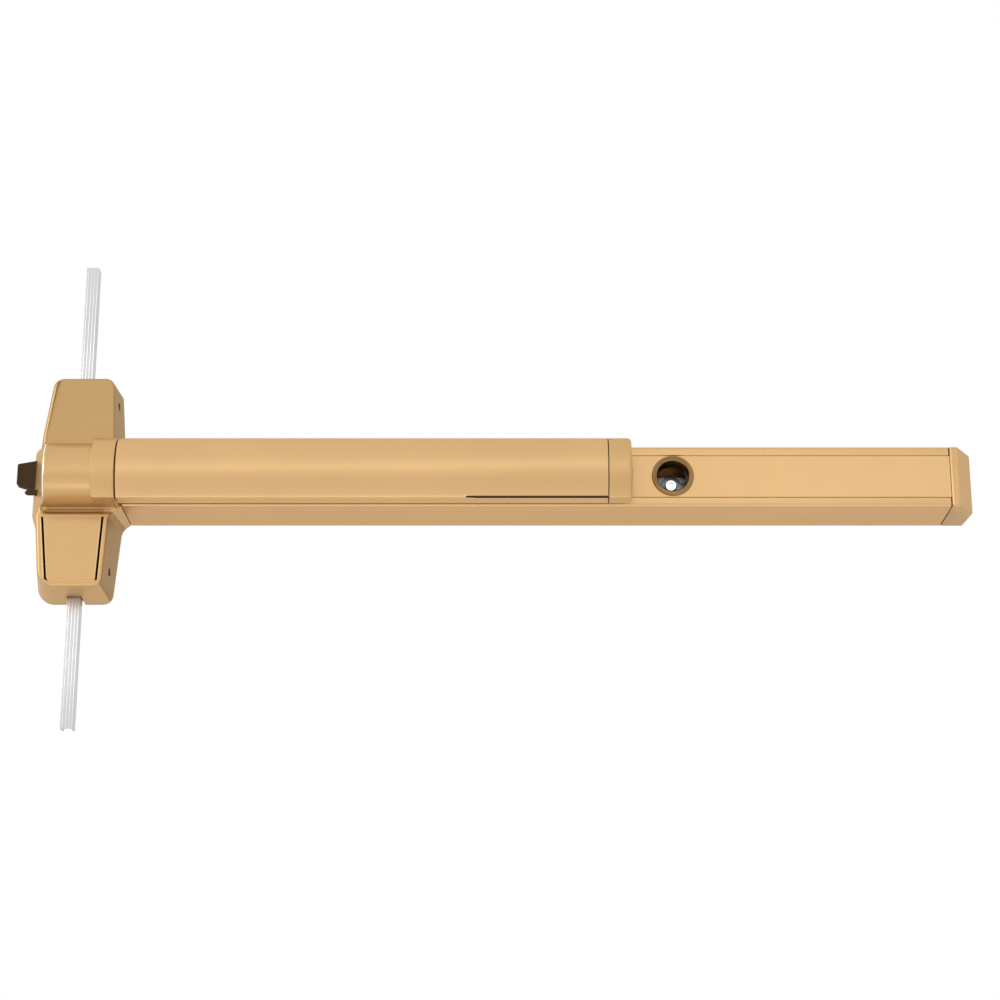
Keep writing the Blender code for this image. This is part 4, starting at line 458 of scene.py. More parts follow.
def grid_quads(rows, columns, around):
    """Quads of a rows by columns grid, its last column joined to the first where it goes around."""
    row = np.arange(rows - 1)[:, None]
    column = np.arange(columns if around else columns - 1)[None, :]
    following = (column + 1) % columns
    corners = [row * columns + column, row * columns + following]
    corners += [(row + 1) * columns + following, (row + 1) * columns + column]
    return np.stack(corners, axis=-1).reshape(-1, 4)


def capped(rings, around=True):
    """Faces of equal rings in a row: quads between them and one face at both ends."""
    count = len(rings[0])
    faces = grid_quads(len(rings), count, around).tolist()
    faces.append(list(range(count)))
    faces.append(list(range((len(rings) - 1) * count, len(rings) * count)))
    return faces


def rounded_end(end, soft, degrees):
    """Stations (place, inset) of a quarter circle at an end, with a negative soft at a start.

    At a turn a the section is drawn in by soft (1 - cos a) and stands soft (1 - sin a) from the end.
    """
    turns = np.radians(degrees)
    return [(end - soft * (1 - math.sin(a)), abs(soft) * (1 - math.cos(a))) for a in turns]


def mesh_piece(name, points, faces, slot, body, replaced, smooth_angle=30, wall=0.0):
    """A piece from points and faces: doubles merged, faces turned out, finish and body given."""
    mesh = bpy.data.meshes.new(name)
    mesh.from_pydata(points.tolist(), [], faces)
    shape = bmesh.new()
    shape.from_mesh(mesh)
    bmesh.ops.remove_doubles(shape, verts=shape.verts, dist=2e-6)
    bmesh.ops.dissolve_degenerate(shape, edges=shape.edges, dist=1e-7)
    bmesh.ops.recalc_face_normals(shape, faces=shape.faces)
    middle = Vector(points.mean(axis=0))
    outward = 0.0
    for face in shape.faces:
        outward += face.normal.dot(face.calc_center_median() - middle) * face.calc_area()
    if outward < 0:
        bmesh.ops.reverse_faces(shape, faces=shape.faces)
    shape.to_mesh(mesh)
    shape.free()
    mesh.shade_smooth()
    mesh.set_sharp_from_angle(angle=math.radians(smooth_angle))
    mesh.materials.append(FINISHES[slot])
    piece = placed(name, mesh)
    if wall > 0:
        thickness = piece.modifiers.new("wall", "SOLIDIFY")
        thickness.thickness = wall
        thickness.offset = -1
        thickness.use_rim = True
    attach(piece, body)
    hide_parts(*replaced)
    return piece


def marked(piece, chosen, finishes=MARKS):
    """Gives faces other materials, such as painted shade or a painted highlight: chosen(x, depth, z,
    normal) answers 1 for the first of them.
    """
    mesh = piece.data
    centres = np.empty(3 * len(mesh.polygons))
    normals = np.empty(3 * len(mesh.polygons))
    mesh.polygons.foreach_get("center", centres)
    mesh.polygons.foreach_get("normal", normals)
    x, y, z = centres.reshape(-1, 3).T
    marks = chosen(x, -y, z, normals.reshape(-1, 3)).astype(np.int32)
    for name in finishes[: marks.max()]:
        mesh.materials.append(FINISHES[name])
    mesh.polygons.foreach_set("material_index", marks)


def unit(vectors):
    """The vectors at length 1."""
    return vectors / np.maximum(np.linalg.norm(vectors, axis=1, keepdims=True), 1e-9)


def inward(section):
    """Unit vectors that point into a closed section: the mean of both neighbour edges' normals."""
    following = np.roll(section, -1, axis=0)
    edge = unit(following - section)
    normal = np.stack([-edge[:, 1], edge[:, 0]], axis=1)
    mean = unit(normal + np.roll(normal, 1, axis=0))
    area = np.sum(section[:, 0] * following[:, 1] - following[:, 0] * section[:, 1])
    return mean if area > 0 else -mean


def in_order(axis, along, section):
    """World points of a section at a place along an axis; the section holds the other two in order."""
    return np.insert(section, "XYZ".index(axis), along, axis=1)


def carried(name, section, axis, start, end, soft, slot, body, replaced, smooth_angle):
    """A section carried straight along an axis, drawn in by a quarter circle at both ends."""
    into = inward(section)
    stations = rounded_end(start, -soft, END_TURNS[::-1]) + rounded_end(end, soft, END_TURNS)
    rings = [in_order(axis, along, section + into * inset) for along, inset in stations]
    return mesh_piece(name, np.concatenate(rings), capped(rings), slot, body, replaced, smooth_angle)


def lathe(name, profile, axis, centre, slot, body, replaced, steps, smooth_angle=30):
    """A profile of (radius, place along the axis) turned once round the axis through centre."""
    profile = np.asarray(profile, float)
    turn = np.arange(steps) * (2 * math.pi / steps)
    ring = np.stack([np.cos(turn), np.sin(turn)], axis=1)
    rings = [in_order(axis, along, ring * radius + np.array(centre)) for radius, along in profile]
    faces = grid_quads(len(rings), steps, True).tolist()
    return mesh_piece(name, np.concatenate(rings), faces, slot, body, replaced, smooth_angle)


def softened(corners, reach, steps):
    """An open outline whose inner corners are soft.

    A corner P becomes a curve (1-t)^2 A + 2t(1-t) P + t^2 B between points A and B that lie the
    reach away from it, or 0.45 of the edge where that is less.
    """
    corners = np.asarray(corners, float)
    t = np.linspace(0, 1, steps + 1)[:, None]
    pieces = [corners[:1]]
    for before, corner, after in zip(corners, corners[1:], corners[2:]):
        ends = []
        for side in (before - corner, after - corner):
            length = np.linalg.norm(side)
            ends.append(corner + side / length * min(reach, 0.45 * length))
        pieces.append((1 - t) ** 2 * ends[0] + 2 * t * (1 - t) * corner + t**2 * ends[1])
    return np.concatenate([*pieces, corners[-1:]])


# The case cover


def smooth_step(value, start, end):
    """3s^2 - 2s^3 of the share s of the way from start to end, held between 0 and 1."""
    share = np.clip((value - start) / (end - start), 0, 1)
    return share * share * (3 - 2 * share)


def rounded_in(distance, radius):
    """How far a quarter circle draws an edge in: r - sqrt(r^2 - (r - d)^2)."""
    away = radius - np.clip(distance, 0, radius)
    return radius - np.sqrt(radius**2 - away**2)


def with_edges(values, edges, clear):
    """Sorted values that keep clear of the given edges, and those edges."""
    values = np.unique(np.concatenate(values))
    edges = np.asarray(edges)
    away = np.min(np.abs(values[:, None] - edges[None, :]), axis=1)
    values = values[away > clear]
    keep = np.concatenate([[True], np.diff(values) > clear / 3])
    return np.unique(np.concatenate([values[keep], edges]))


def cover_heights():
    """Heights of the cover's cross-sections, close together where its form turns."""
    quarter = 1 - np.cos(np.radians(np.linspace(0, 90, 16)))
    low = CASE_BOTTOM
    high = CASE_TOP
    half = BAND_HALF_HEIGHT
    foot = -half - BAND_FOOT
    values = [low + np.linspace(0, BOTTOM_DRAFT, 7), high - np.linspace(0, TOP_DRAFT, 6)]
    values.append(low + BOTTOM_DRAFT + BOTTOM_EDGE_RADIUS * quarter)
    values.append(high - TOP_DRAFT - TOP_EDGE_RADIUS * quarter)
    values += [low + LEFT_CORNER_RADIUS * quarter, high - TOP_RIGHT_CORNER_RADIUS * quarter]
    values += [np.linspace(low + LEFT_CORNER_RADIUS, foot, 26), np.linspace(foot, -half, 20)]
    values += [half * np.sin(np.radians(np.linspace(-90, 90, 57)))]
    values += [np.linspace(half, half + FLARE_HEIGHT, 14)]
    values += [np.linspace(half + FLARE_HEIGHT, high - TOP_DRAFT - TOP_EDGE_RADIUS, 14)]
    edges = [low, high, -half - STEP, -half, half, half + STEP, *BAND_LINE]
    edges += [*BOLT_WINDOW, DEADLATCH_Z - DEADLATCH_WINDOW, DEADLATCH_Z + DEADLATCH_WINDOW]
    edges += [-NECK_HALF, NECK_HALF, low + notch_height(BOTTOM_DRAFT, BOTTOM_EDGE_RADIUS)]
    edges += [high - notch_height(TOP_DRAFT, TOP_EDGE_RADIUS)]
    return with_edges(values, edges, HEIGHT_CLEARANCE)


def notch_height(draft, radius):
    """How far along an end face's draft the rod's notch reaches."""
    return draft * NOTCH_DEPTH / (CASE_DEPTH - radius)


def end_depth(height, draft, radius):
    """Greatest depth near an end: linear over the draft, then a quarter circle, then no limit."""
    face = (CASE_DEPTH - radius) * np.clip(height / draft, 0, 1)
    away = radius - np.clip(height - draft, 0, radius)
    turn = CASE_DEPTH - radius + np.sqrt(radius**2 - away**2)
    limited = np.where(height <= draft, face, turn)
    return np.where(height >= draft + radius, PAD_FRONT_DEPTH, limited)


def body_sides(z):
    """Left and right edges of the case at the door and at its front, linear past a height."""
    past = np.maximum(0, np.abs(z) - TAPER_START)
    past_lower = np.maximum(0, -z - LEFT_BASE_START_LOWER)
    lean = np.where(z > 0, LEFT_BASE_SLOPE_UPPER * past, LEFT_BASE_SLOPE_LOWER * past_lower)
    left_upper = LEFT_FRONT_UPPER_X + LEFT_FRONT_SLOPE_UPPER * past
    left_front = np.where(z > 0, left_upper, LEFT_FRONT_X + LEFT_FRONT_SLOPE * past)
    right_base = RIGHT_BASE_X - RIGHT_BASE_SLOPE * past
    upper = RIGHT_FRONT_UPPER_X - RIGHT_FRONT_SLOPE_UPPER * past
    lower = RIGHT_FRONT_LOWER_X - RIGHT_FRONT_SLOPE_LOWER * past
    return LEFT_BASE_X + lean, left_front, right_base, np.where(z > 0, upper, lower)


def corner_inset(z, depth, top_radius, bottom_radius):
    """How far the rounded plan corners draw a side in, by quarter circles at both ends."""
    share = depth / CASE_DEPTH
    to_top = CASE_TOP - TOP_DRAFT * share - z
    to_bottom = z - CASE_BOTTOM - BOTTOM_DRAFT * share
    return rounded_in(to_top, top_radius) + rounded_in(to_bottom, bottom_radius)


def left_edge(z, depth):
    """Left side: linear in depth on the case, a lean and a smooth step on the band, blended below."""
    base, front, _, _ = body_sides(z)
    body = base + (front - base) * depth / CASE_DEPTH
    share = depth / PAD_FRONT_DEPTH
    turn = smooth_step(share, BAND_SIDE_TURN, BAND_SIDE_END)
    swept = BAND_SIDE_LEAN * share + (1 - BAND_SIDE_LEAN) * turn
    swept = LEFT_BASE_X + (BAND_LEFT_FRONT_X - LEFT_BASE_X) * swept
    shoulder = smooth_step(z, BAND_HALF_HEIGHT - BAND_SHOULDER, BAND_HALF_HEIGHT)
    band = swept + BAND_SHOULDER_INSET * shoulder * share
    blend = smooth_step(z, -BAND_HALF_HEIGHT - BAND_FOOT, -BAND_HALF_HEIGHT) * (z <= BAND_HALF_HEIGHT)
    side = body * (1 - blend) + band * blend
    return side + corner_inset(z, depth, TOP_LEFT_CORNER_RADIUS, LEFT_CORNER_RADIUS)


def right_edge(z, depth):
    """Right side: linear in depth, flared to the rail by a power of the height past it.

    The radius of its top corner grows with the depth.
    """
    _, _, base, front = body_sides(z)
    side = base + (front - base) * depth / CASE_DEPTH
    share = np.clip(depth / CASE_DEPTH, 0, 1)
    top_radius = TOP_RIGHT_DOOR_RADIUS + (TOP_RIGHT_CORNER_RADIUS - TOP_RIGHT_DOOR_RADIUS) * share
    side = side - corner_inset(z, depth, top_radius, RIGHT_CORNER_RADIUS)
    past = np.maximum(0, (np.abs(z) - RAIL_HALF_HEIGHT) / FLARE_HEIGHT)
    flare = np.maximum(0, 1 - past) ** FLARE_POWER
    flared = side + (RAIL_START_X - SEAT_GAP - side) * flare
    return np.where(depth > CASE_DEPTH, NOSE_RIGHT_X, flared)


def pad_front(z):
    """The pad's section: half an ellipse above, a parabola down to a crease, then a straight flange."""
    above = np.clip(z / PAD_HALF_HEIGHT, 0, 1)
    ellipse = PAD_LIP_DEPTH + (PAD_FRONT_DEPTH - PAD_LIP_DEPTH) * np.sqrt(1 - above * above)
    below = np.clip(-z / PAD_CREASE_Z, 0, 1)
    parabola = PAD_FRONT_DEPTH - (PAD_FRONT_DEPTH - PAD_CREASE_DEPTH) * below * below
    share = np.clip((-z - PAD_CREASE_Z) / (PAD_LOWER_EDGE - PAD_CREASE_Z), 0, 1)
    flange = PAD_CREASE_DEPTH + (PAD_LIP_DEPTH - PAD_CREASE_DEPTH) * share
    return np.where(z >= 0, ellipse, np.where(-z <= PAD_CREASE_Z, parabola, flange))


def band_front(z):
    """The band's front: rise (1 - |s|^n)^(1/n) past the case's front, with a higher n below."""
    share = np.clip(np.abs(z) / BAND_HALF_HEIGHT, 0, 1)
    power = np.where(z > 0, BAND_POWER_UPPER, BAND_POWER_LOWER)
    return CASE_DEPTH + BAND_RISE * (1 - share**power) ** (1 / power)


def nose_left(z):
    """Left edge of the nose, with rounded corners."""
    return NOSE_LEFT_X + rounded_in(BAND_HALF_HEIGHT - np.abs(z), NOSE_CORNER_RADIUS)


def crease_x(z, ends):
    """A crease of the lower panel: a straight line between its two ends, run on a little above."""
    share = (z - CREASE_TOP_Z) / (CREASE_BOTTOM_Z - CREASE_TOP_Z)
    return ends[0] + (ends[1] - ends[0]) * np.clip(share, -CREASE_OVERRUN, 1.0)


def crease_at(x, z, line):
    """A groove with steep walls and a small raised lip on both sides, pointed at its ends."""
    ends = smooth_step(-z, -CREASE_TOP_Z, -CREASE_TOP_Z + CREASE_POINT)
    ends = ends * smooth_step(z, CREASE_BOTTOM_Z, CREASE_BOTTOM_Z + CREASE_POINT)
    away = np.abs(x - line) / CREASE_WIDTH
    lip = CREASE_LIP * np.exp(-(((away - LIP_PLACE) / LIP_SPREAD) ** 2))
    return ends * (CREASE_DEPTH * (1 - smooth_step(away, GROOVE_FLAT, GROOVE_EDGE)) - lip)


def panel_at(x, z, left, right):
    """The lower panel stands a little proud between the creases, with soft edges."""
    across = smooth_step(x, left, left + PANEL_SOFT) * (1 - smooth_step(x, right - PANEL_SOFT, right))
    up = smooth_step(-z, -PANEL_TOP_Z, -PANEL_TOP_Z + PANEL_SOFT / 2)
    up = up * smooth_step(z, PANEL_BOTTOM_Z, PANEL_BOTTOM_Z + PANEL_SOFT / 2)
    return PANEL_RISE * across * up


def valley_at(x, z):
    """The valley under the band: a squared cosine across it, faded in from the left."""
    away = np.clip(np.abs(z - VALLEY_Z) / VALLEY_HALF_WIDTH, 0, 1)
    fade = smooth_step(x, VALLEY_LEFT_X, VALLEY_LEFT_X + VALLEY_FADE)
    return VALLEY_DEPTH * fade * np.cos(away * math.pi / 2) ** 2


def front_at(x, z, left_line, right_line):
    """Depth of the cover's front: nose, band, or the case with its valley, panel and creases."""
    edge = nose_left(z)
    nose = pad_front(z) - rounded_in(x - edge, NOSE_SOFT)
    nose = nose - rounded_in(BAND_HALF_HEIGHT - np.abs(z), NOSE_SOFT)
    band = np.where(x >= edge, nose, band_front(z))
    case = CASE_DEPTH - valley_at(x, z) + panel_at(x, z, left_line, right_line)
    case = case - UPPER_CASE_LEAN * np.maximum(0, z - BAND_HALF_HEIGHT)
    case = case - crease_at(x, z, left_line) - crease_at(x, z, right_line)
    return np.where(np.abs(z) <= BAND_HALF_HEIGHT, band, case)


def between(start, end, shares):
    """Values at the given shares of the way from start to end, one column for each share."""
    return start + (end - start) * np.asarray(shares)[None, :]


def cover_grid():
    """Points of the cover: rows up its height, columns up its left side, over its front and down.

    Also its heights, the columns that bound the rods' notch and the first column of the rail's neck.
    """
    z = cover_heights()[:, None]
    in_band = np.abs(z) <= BAND_HALF_HEIGHT
    deepest = np.minimum(
        end_depth(z - CASE_BOTTOM, BOTTOM_DRAFT, BOTTOM_EDGE_RADIUS),
        end_depth(CASE_TOP - z, TOP_DRAFT, TOP_EDGE_RADIUS),
    )
    left_line = crease_x(z, LEFT_CREASE)
    right_line = crease_x(z, RIGHT_CREASE)

    left_depth = np.minimum(np.where(in_band, band_front(z), CASE_DEPTH), deepest)
    radius = np.where(in_band, BAND_EDGE_RADIUS, LEFT_EDGE_RADIUS)
    radius = np.minimum(radius, GREATEST_EDGE_SHARE * left_depth)
    shoulder = left_depth - radius
    fixed = np.array(LEFT_DEPTHS)[None, :] * np.minimum(1, shoulder / LEFT_DEPTHS[-1])
    rest = between(fixed[:, -1:], shoulder, np.linspace(0, 1, 10)[1:])
    side_depth = np.concatenate([fixed, rest], axis=1)
    side_x = left_edge(z, side_depth)

    turn = np.radians(np.linspace(0, 90, 10)[1:])[None, :]
    corner_x = side_x[:, -1:] + radius
    turn_x = corner_x - radius * np.cos(turn)
    turn_depth = shoulder + radius * np.sin(turn)

    right_depth = np.minimum(front_at(NOSE_RIGHT_X, z, left_line, right_line), deepest)
    soft = np.where(in_band, NOSE_EDGE_RADIUS, RIGHT_EDGE_RADIUS)
    soft = np.minimum(soft, GREATEST_EDGE_SHARE * right_depth)
    right_x = right_edge(z, right_depth)
    last_x = right_x - soft
    margin = CREASE_MARGIN * CREASE_WIDTH
    left_line = np.maximum(left_line, corner_x + margin)
    right_line = np.minimum(right_line, last_x - margin)
    half_offsets = np.array(CREASE_OFFSETS)
    offsets = CREASE_WIDTH * np.concatenate([-half_offsets[::-1], [0.0], half_offsets])
    edge = np.minimum(nose_left(z), right_line - margin - 2 * NOSE_SOFT)
    notch_left = ROD_X - NOTCH_HALF + 0 * z
    notch_right = ROD_X + NOTCH_HALF + 0 * z
    parts = [
        between(corner_x, left_line - margin, (0.3, 0.65)),
        left_line + offsets[None, :],
        between(left_line + margin, notch_left, np.linspace(0, 1, 17)[1:]),
        between(notch_left, notch_right, np.linspace(0, 1, 9)[1:]),
        between(notch_right, edge - STEP, np.linspace(0, 1, 11)[1:]),
        edge + NOSE_SOFT * (1 - np.cos(np.radians(np.linspace(0, 90, 6))))[None, :],
        between(edge + NOSE_SOFT, right_line - margin, (0.25, 0.5, 0.75)),
        right_line + offsets[None, :],
        between(right_line + margin, last_x, (0.3, 0.65, 1.0)),
    ]
    front_x = np.concatenate(parts, axis=1)
    front_depth = np.minimum(front_at(front_x, z, left_line, right_line), deepest)

    turn = np.radians(np.linspace(90, 0, 7)[1:])[None, :]
    end_x = last_x + soft * np.cos(turn)
    end_turn_depth = right_depth - soft * (1 - np.sin(turn))
    edge_depth = right_depth - soft
    nose_depths = between(edge_depth, CASE_DEPTH + STEP, np.linspace(0, 1, 6)[1:])
    rail_depths = between(CASE_DEPTH + 0 * z, 0, np.array(RIGHT_SHARES))
    banded = np.concatenate([nose_depths, rail_depths], axis=1)
    plain = between(edge_depth, 0, np.linspace(0, 1, banded.shape[1] + 1)[1:])
    down_depth = np.where(in_band, banded, plain)
    down_x = right_edge(z, down_depth)

    x = np.concatenate([side_x, turn_x, front_x, end_x, down_x], axis=1)
    depth = np.concatenate([side_depth, turn_depth, front_depth, end_turn_depth, down_depth], axis=1)
    points = np.stack([x, -depth, z + 0 * x], axis=-1)
    notch_start = side_x.shape[1] + turn_x.shape[1] + sum(part.shape[1] for part in parts[:3]) - 1
    notch_end = notch_start + parts[3].shape[1]
    neck_start = x.shape[1] - len(RIGHT_SHARES) + 1
    return points, z[:, 0], (notch_start, notch_end), neck_start


def cover_piece():
    """The case cover: its grid without the cells of its openings, given its wall."""
    points, z, notch, neck_start = cover_grid()
    rows, columns = points.shape[:2]
    quads = grid_quads(rows, columns, False)
    middle = (z[1:] + z[:-1]) / 2
    row_middle = np.repeat(middle, columns - 1)
    column = np.tile(np.arange(columns - 1), rows - 1)
    bolt = (row_middle > BOLT_WINDOW[0]) & (row_middle < BOLT_WINDOW[1])
    bolt = bolt & (column >= BOLT_COLUMNS[0]) & (column < BOLT_COLUMNS[1])
    small = np.abs(row_middle - DEADLATCH_Z) < DEADLATCH_WINDOW
    small = small & (column >= DEADLATCH_COLUMNS[0]) & (column < DEADLATCH_COLUMNS[1])
    low = row_middle < CASE_BOTTOM + notch_height(BOTTOM_DRAFT, BOTTOM_EDGE_RADIUS)
    high = row_middle > CASE_TOP - notch_height(TOP_DRAFT, TOP_EDGE_RADIUS)
    rod = (low | high) & (column >= notch[0]) & (column < notch[1])
    neck = (np.abs(row_middle) < NECK_HALF) & (column >= neck_start)
    faces = quads[~(bolt | small | rod | neck)].tolist()
    replaced = ("center_case_cover",)
    points = points.reshape(-1, 3)
    cover = mesh_piece("case_cover", points, faces, "cast_bronze", "root", replaced, 30, COVER_WALL)
    # The case takes the cast bronze with painted shade above the band
    cover.data.materials[0] = FINISHES["case_bronze_painted_shade"]
    marked(cover, cover_marks)


def cover_marks(x, depth, z, normal):
    """Painted shade and painted highlight on the cover's faces, as numbers of MARKS.

    Painted shade goes on the bottoms of both creases and the line over the band, on the valley
    and on the right flank; a painted highlight goes on the band's left edge.
    """
    # Painted shade: near black in the bottoms of both creases and along the line over the band
    half = GROOVE_SHARE * CREASE_WIDTH
    left = np.abs(x - crease_x(z, LEFT_CREASE)) < half
    right = np.abs(x - crease_x(z, RIGHT_CREASE)) < half
    front = depth > FRONT_SHARE * CASE_DEPTH
    tall = (z < CREASE_TOP_Z - CREASE_POINT / 2) & (z > CREASE_BOTTOM_Z + CREASE_POINT / 2)
    creases = (left | right) & tall & front
    line = (z > BAND_LINE[0]) & (z < BAND_LINE[1]) & front
    line = line & (x > VALLEY_LEFT_X) & (x < NOSE_LEFT_X - NOSE_CORNER_RADIUS)
    # Painted shade along the middle of the valley
    valley = (np.abs(z - VALLEY_Z) < VALLEY_HALF_WIDTH / 2) & front
    valley = valley & (x > VALLEY_LEFT_X + VALLEY_FADE / 2) & (x < RIGHT_CREASE[0])
    # Painted shade on faces turned to the right, behind the front
    flank = (normal[:, 0] > SHADED_FLANK_NORMAL) & (depth < CASE_DEPTH)
    # A painted highlight on the band's left front edge
    edge_highlight = (x < BAND_LEFT_FRONT_X + EDGE_HIGHLIGHT_WIDTH) & (depth > EDGE_HIGHLIGHT_DEPTH) & (z > EDGE_HIGHLIGHT_FOOT)
    edge_highlight = edge_highlight & (normal[:, 0] > EDGE_HIGHLIGHT_NORMALS[0]) & (normal[:, 0] < EDGE_HIGHLIGHT_NORMALS[1])
    return np.select([creases | line, valley, flank, edge_highlight], [1, 2, 3, 4], 0)


# The pad, the rail and what closes it


def pad_section():
    """Section of the pad, and how strongly the slit draws each of its points in.

    Outside: the pad's front with a shallow groove exp(-(d/w)^2) at its crease.
    Inside: the front's line moved in by the wall and narrowed, with the two legs.
    """
    near = -PAD_CREASE_Z + np.linspace(-1, 1, 9) * 2 * PAD_GROOVE_WIDTH
    curve = PAD_HALF_HEIGHT * np.sin(np.radians(np.linspace(PAD_LOW_TURN, 90, 71)))
    z = np.concatenate([curve, near, np.linspace(-PAD_LOWER_EDGE, -PAD_CREASE_Z, 6)])
    z = np.unique(np.round(z, 7))
    z = z[z >= -PAD_LOWER_EDGE]
    groove = PAD_GROOVE_DEPTH * np.exp(-(((z + PAD_CREASE_Z) / PAD_GROOVE_WIDTH) ** 2))
    outer = np.stack([-pad_front(z) + groove, z], axis=1)
    slit = (z >= -PAD_CREASE_Z - 1e-6) & (z <= -PAD_CREASE_Z + SLIT_WIDTH)
    narrow = (PAD_HALF_HEIGHT - PAD_WALL) / PAD_HALF_HEIGHT
    inner_z = (PAD_HALF_HEIGHT - PAD_WALL) * np.sin(np.radians(np.linspace(90, -90, 41)))
    inner_depth = np.maximum(pad_front(inner_z / narrow) - PAD_WALL, PAD_LIP_DEPTH)
    inner = np.stack([-inner_depth, inner_z], axis=1)
    leg = PAD_LEG_HALF
    inside = leg - PAD_LEG_WALL
    reach = -RAIL_DEPTH - PAD_LEG_LEAD
    places = (leg, inside, -inside, -leg)
    skins = [float(PAD_WALL - pad_front(place / narrow)) for place in places]
    upper = inner[inner[:, 1] > leg]
    middle = inner[np.abs(inner[:, 1]) < inside]
    lower = inner[inner[:, 1] < -leg]
    upper_leg = [(skins[0], leg), (reach, leg), (reach, inside), (skins[1], inside)]
    lower_leg = [(skins[2], -inside), (reach, -inside), (reach, -leg), (skins[3], -leg)]
    section = np.concatenate([outer, upper, upper_leg, middle, lower_leg, lower])
    weight = np.concatenate([slit.astype(float), np.zeros(len(section) - len(outer))])
    return section, weight


def pad_piece():
    """The pad: its section carried along X, with a slit that starts to a depth over its lead.

    Before the legs start, all points are held at the lip's depth or in front of it.
    """
    section, weight = pad_section()
    into = inward(section)
    stations = rounded_end(PAD_START_X, -PAD_END_SOFT, END_TURNS[::-1])
    stations += [(PAD_LEG_START_X - STEP, 0.0), (PAD_LEG_START_X, 0.0)]
    stations += [(x, 0.0) for x in np.linspace(SLIT_START_X, SLIT_START_X + SLIT_LEAD, 6)]
    stations += rounded_end(PAD_END_X, PAD_END_SOFT, END_TURNS)
    rings = []
    for x, inset in stations:
        depth = SLIT_DEPTH * min(1.0, max(0.0, (x - SLIT_START_X) / SLIT_LEAD))
        shifted = section + into * inset + np.stack([weight * depth, 0 * weight], axis=1)
        if x < PAD_LEG_START_X:
            shifted[:, 0] = np.minimum(shifted[:, 0], -PAD_LIP_DEPTH)
        rings.append(in_order("X", x, shifted))
    points = np.concatenate(rings)
    pad = mesh_piece("pad", points, capped(rings), "extruded_bronze", "pad", ("push_pad",), 24)
    # The slit's bottom and the pad's end rim get painted shade
    marked(pad, pad_slit)


def pad_slit(x, depth, z, _):
    """Painted shade: the bottom of the slit, from where it starts to the pad's end, and the pad's last
    rim in the seam to the end piece.
    """
    inside = (z > -PAD_CREASE_Z) & (z < SLIT_WIDTH - PAD_CREASE_Z) & (depth > PAD_LIP_DEPTH)
    return (inside & (x > SLIT_START_X + SLIT_LEAD / 4)) | (x > PAD_END_X - PAD_END_SOFT)


def pad_end_piece():
    """End piece of the pad: the pad's outside, scaled towards its rear at the end.

    At an inset i the heights are scaled by 1 - i / H and the depths from the lip by 1 - i / D.
    """
    section, _ = pad_section()
    start = PAD_END_X + SEAT_GAP
    outer = section[: np.argmax(section[:, 1]) + 1]
    deep = PAD_FRONT_DEPTH - PAD_LIP_DEPTH
    turns = np.linspace(0, 90, 9)
    stations = [(start - PAD_WALL, PAD_WALL + SEAT_GAP)]
    stations += rounded_end(start, -PAD_END_SOFT, turns[::-2])
    stations += rounded_end(PAD_CAP_END_X, PAD_CAP_ROUNDING, turns)
    rings = []
    for x, inset in stations:
        depth = (outer[:, 0] + PAD_LIP_DEPTH) * (1 - inset / deep) - PAD_LIP_DEPTH
        ring = np.stack([depth, outer[:, 1] * (1 - inset / PAD_HALF_HEIGHT)], axis=1)
        rings.append(in_order("X", x, ring))
    points = np.concatenate(rings)
    mesh_piece("pad_end", points, capped(rings), "cast_bronze", "pad", ("pad_end_cap",))


def rail_piece():
    """The rail: a C section with large front corners and fine edges at its mouth."""
    half = RAIL_HALF_HEIGHT
    deep = RAIL_DEPTH
    radius = RAIL_EDGE_RADIUS
    seat = deep - PLATE_THICKNESS - 2 * SEAT_GAP
    behind = seat - LEDGE_THICKNESS
    upper = [(0.0, half - FINE_EDGE), (-FINE_EDGE, half)]
    for a in np.radians(np.linspace(0, 90, 11)):
        upper.append((-deep + radius - radius * math.sin(a), half - radius + radius * math.cos(a)))
    upper += [(-deep, MOUTH_HALF + FINE_EDGE), (-deep + FINE_EDGE, MOUTH_HALF), (-seat, MOUTH_HALF)]
    upper += [(-seat, LEDGE_HALF), (-behind, LEDGE_HALF), (-behind, half - RAIL_WALL)]
    upper += [(-RAIL_WALL, half - RAIL_WALL)]
    section = np.array(upper + [(y, -z) for y, z in upper[::-1]])
    ends = (RAIL_START_X, RAIL_END_X)
    finish = "extruded_bronze"
    rail = carried("channel_rail", section, "X", *ends, RAIL_END_SOFT, finish, "root", ("rail",), 24)
    # Painted shade on the rail's rim in the seam to the end cap
    marked(rail, rail_seam)


def rail_seam(x, *_):
    """The rounded rim at the end cap, painted near black as the shade in the seam."""
    return x > RAIL_END_X - SEAM_SHADE_WIDTH


def end_cap_piece():
    """The end cap: its softened plan carried up the height, drawn in at both ends, open to the rail.

    The inset at a turn a of the bevel is B (1 - sin a) and the rise is B (1 - cos a).
    """
    start = RAIL_END_X + SEAT_GAP
    half = RAIL_HALF_HEIGHT
    turns = np.radians((0, 12, 35, 55, 78, 90))
    levels = [(CAP_BEVEL * (1 - math.sin(a)), CAP_BEVEL * (1 - math.cos(a))) for a in turns]
    heights = [(-half + rise, inset) for inset, rise in levels]
    heights += [(half - rise, inset) for inset, rise in levels[::-1]]
    rings = [in_order("Z", z, cap_plan(start, inset)) for z, inset in heights]
    count = len(rings[0])
    faces = [face for face in capped(rings, False) if len(face) > 4 or face[0] % count > 0]
    points = np.concatenate(rings)
    mesh_piece("rail_end_cap", points, faces, "cast_bronze", "root", ("end_cap",), 25, CAP_WALL)


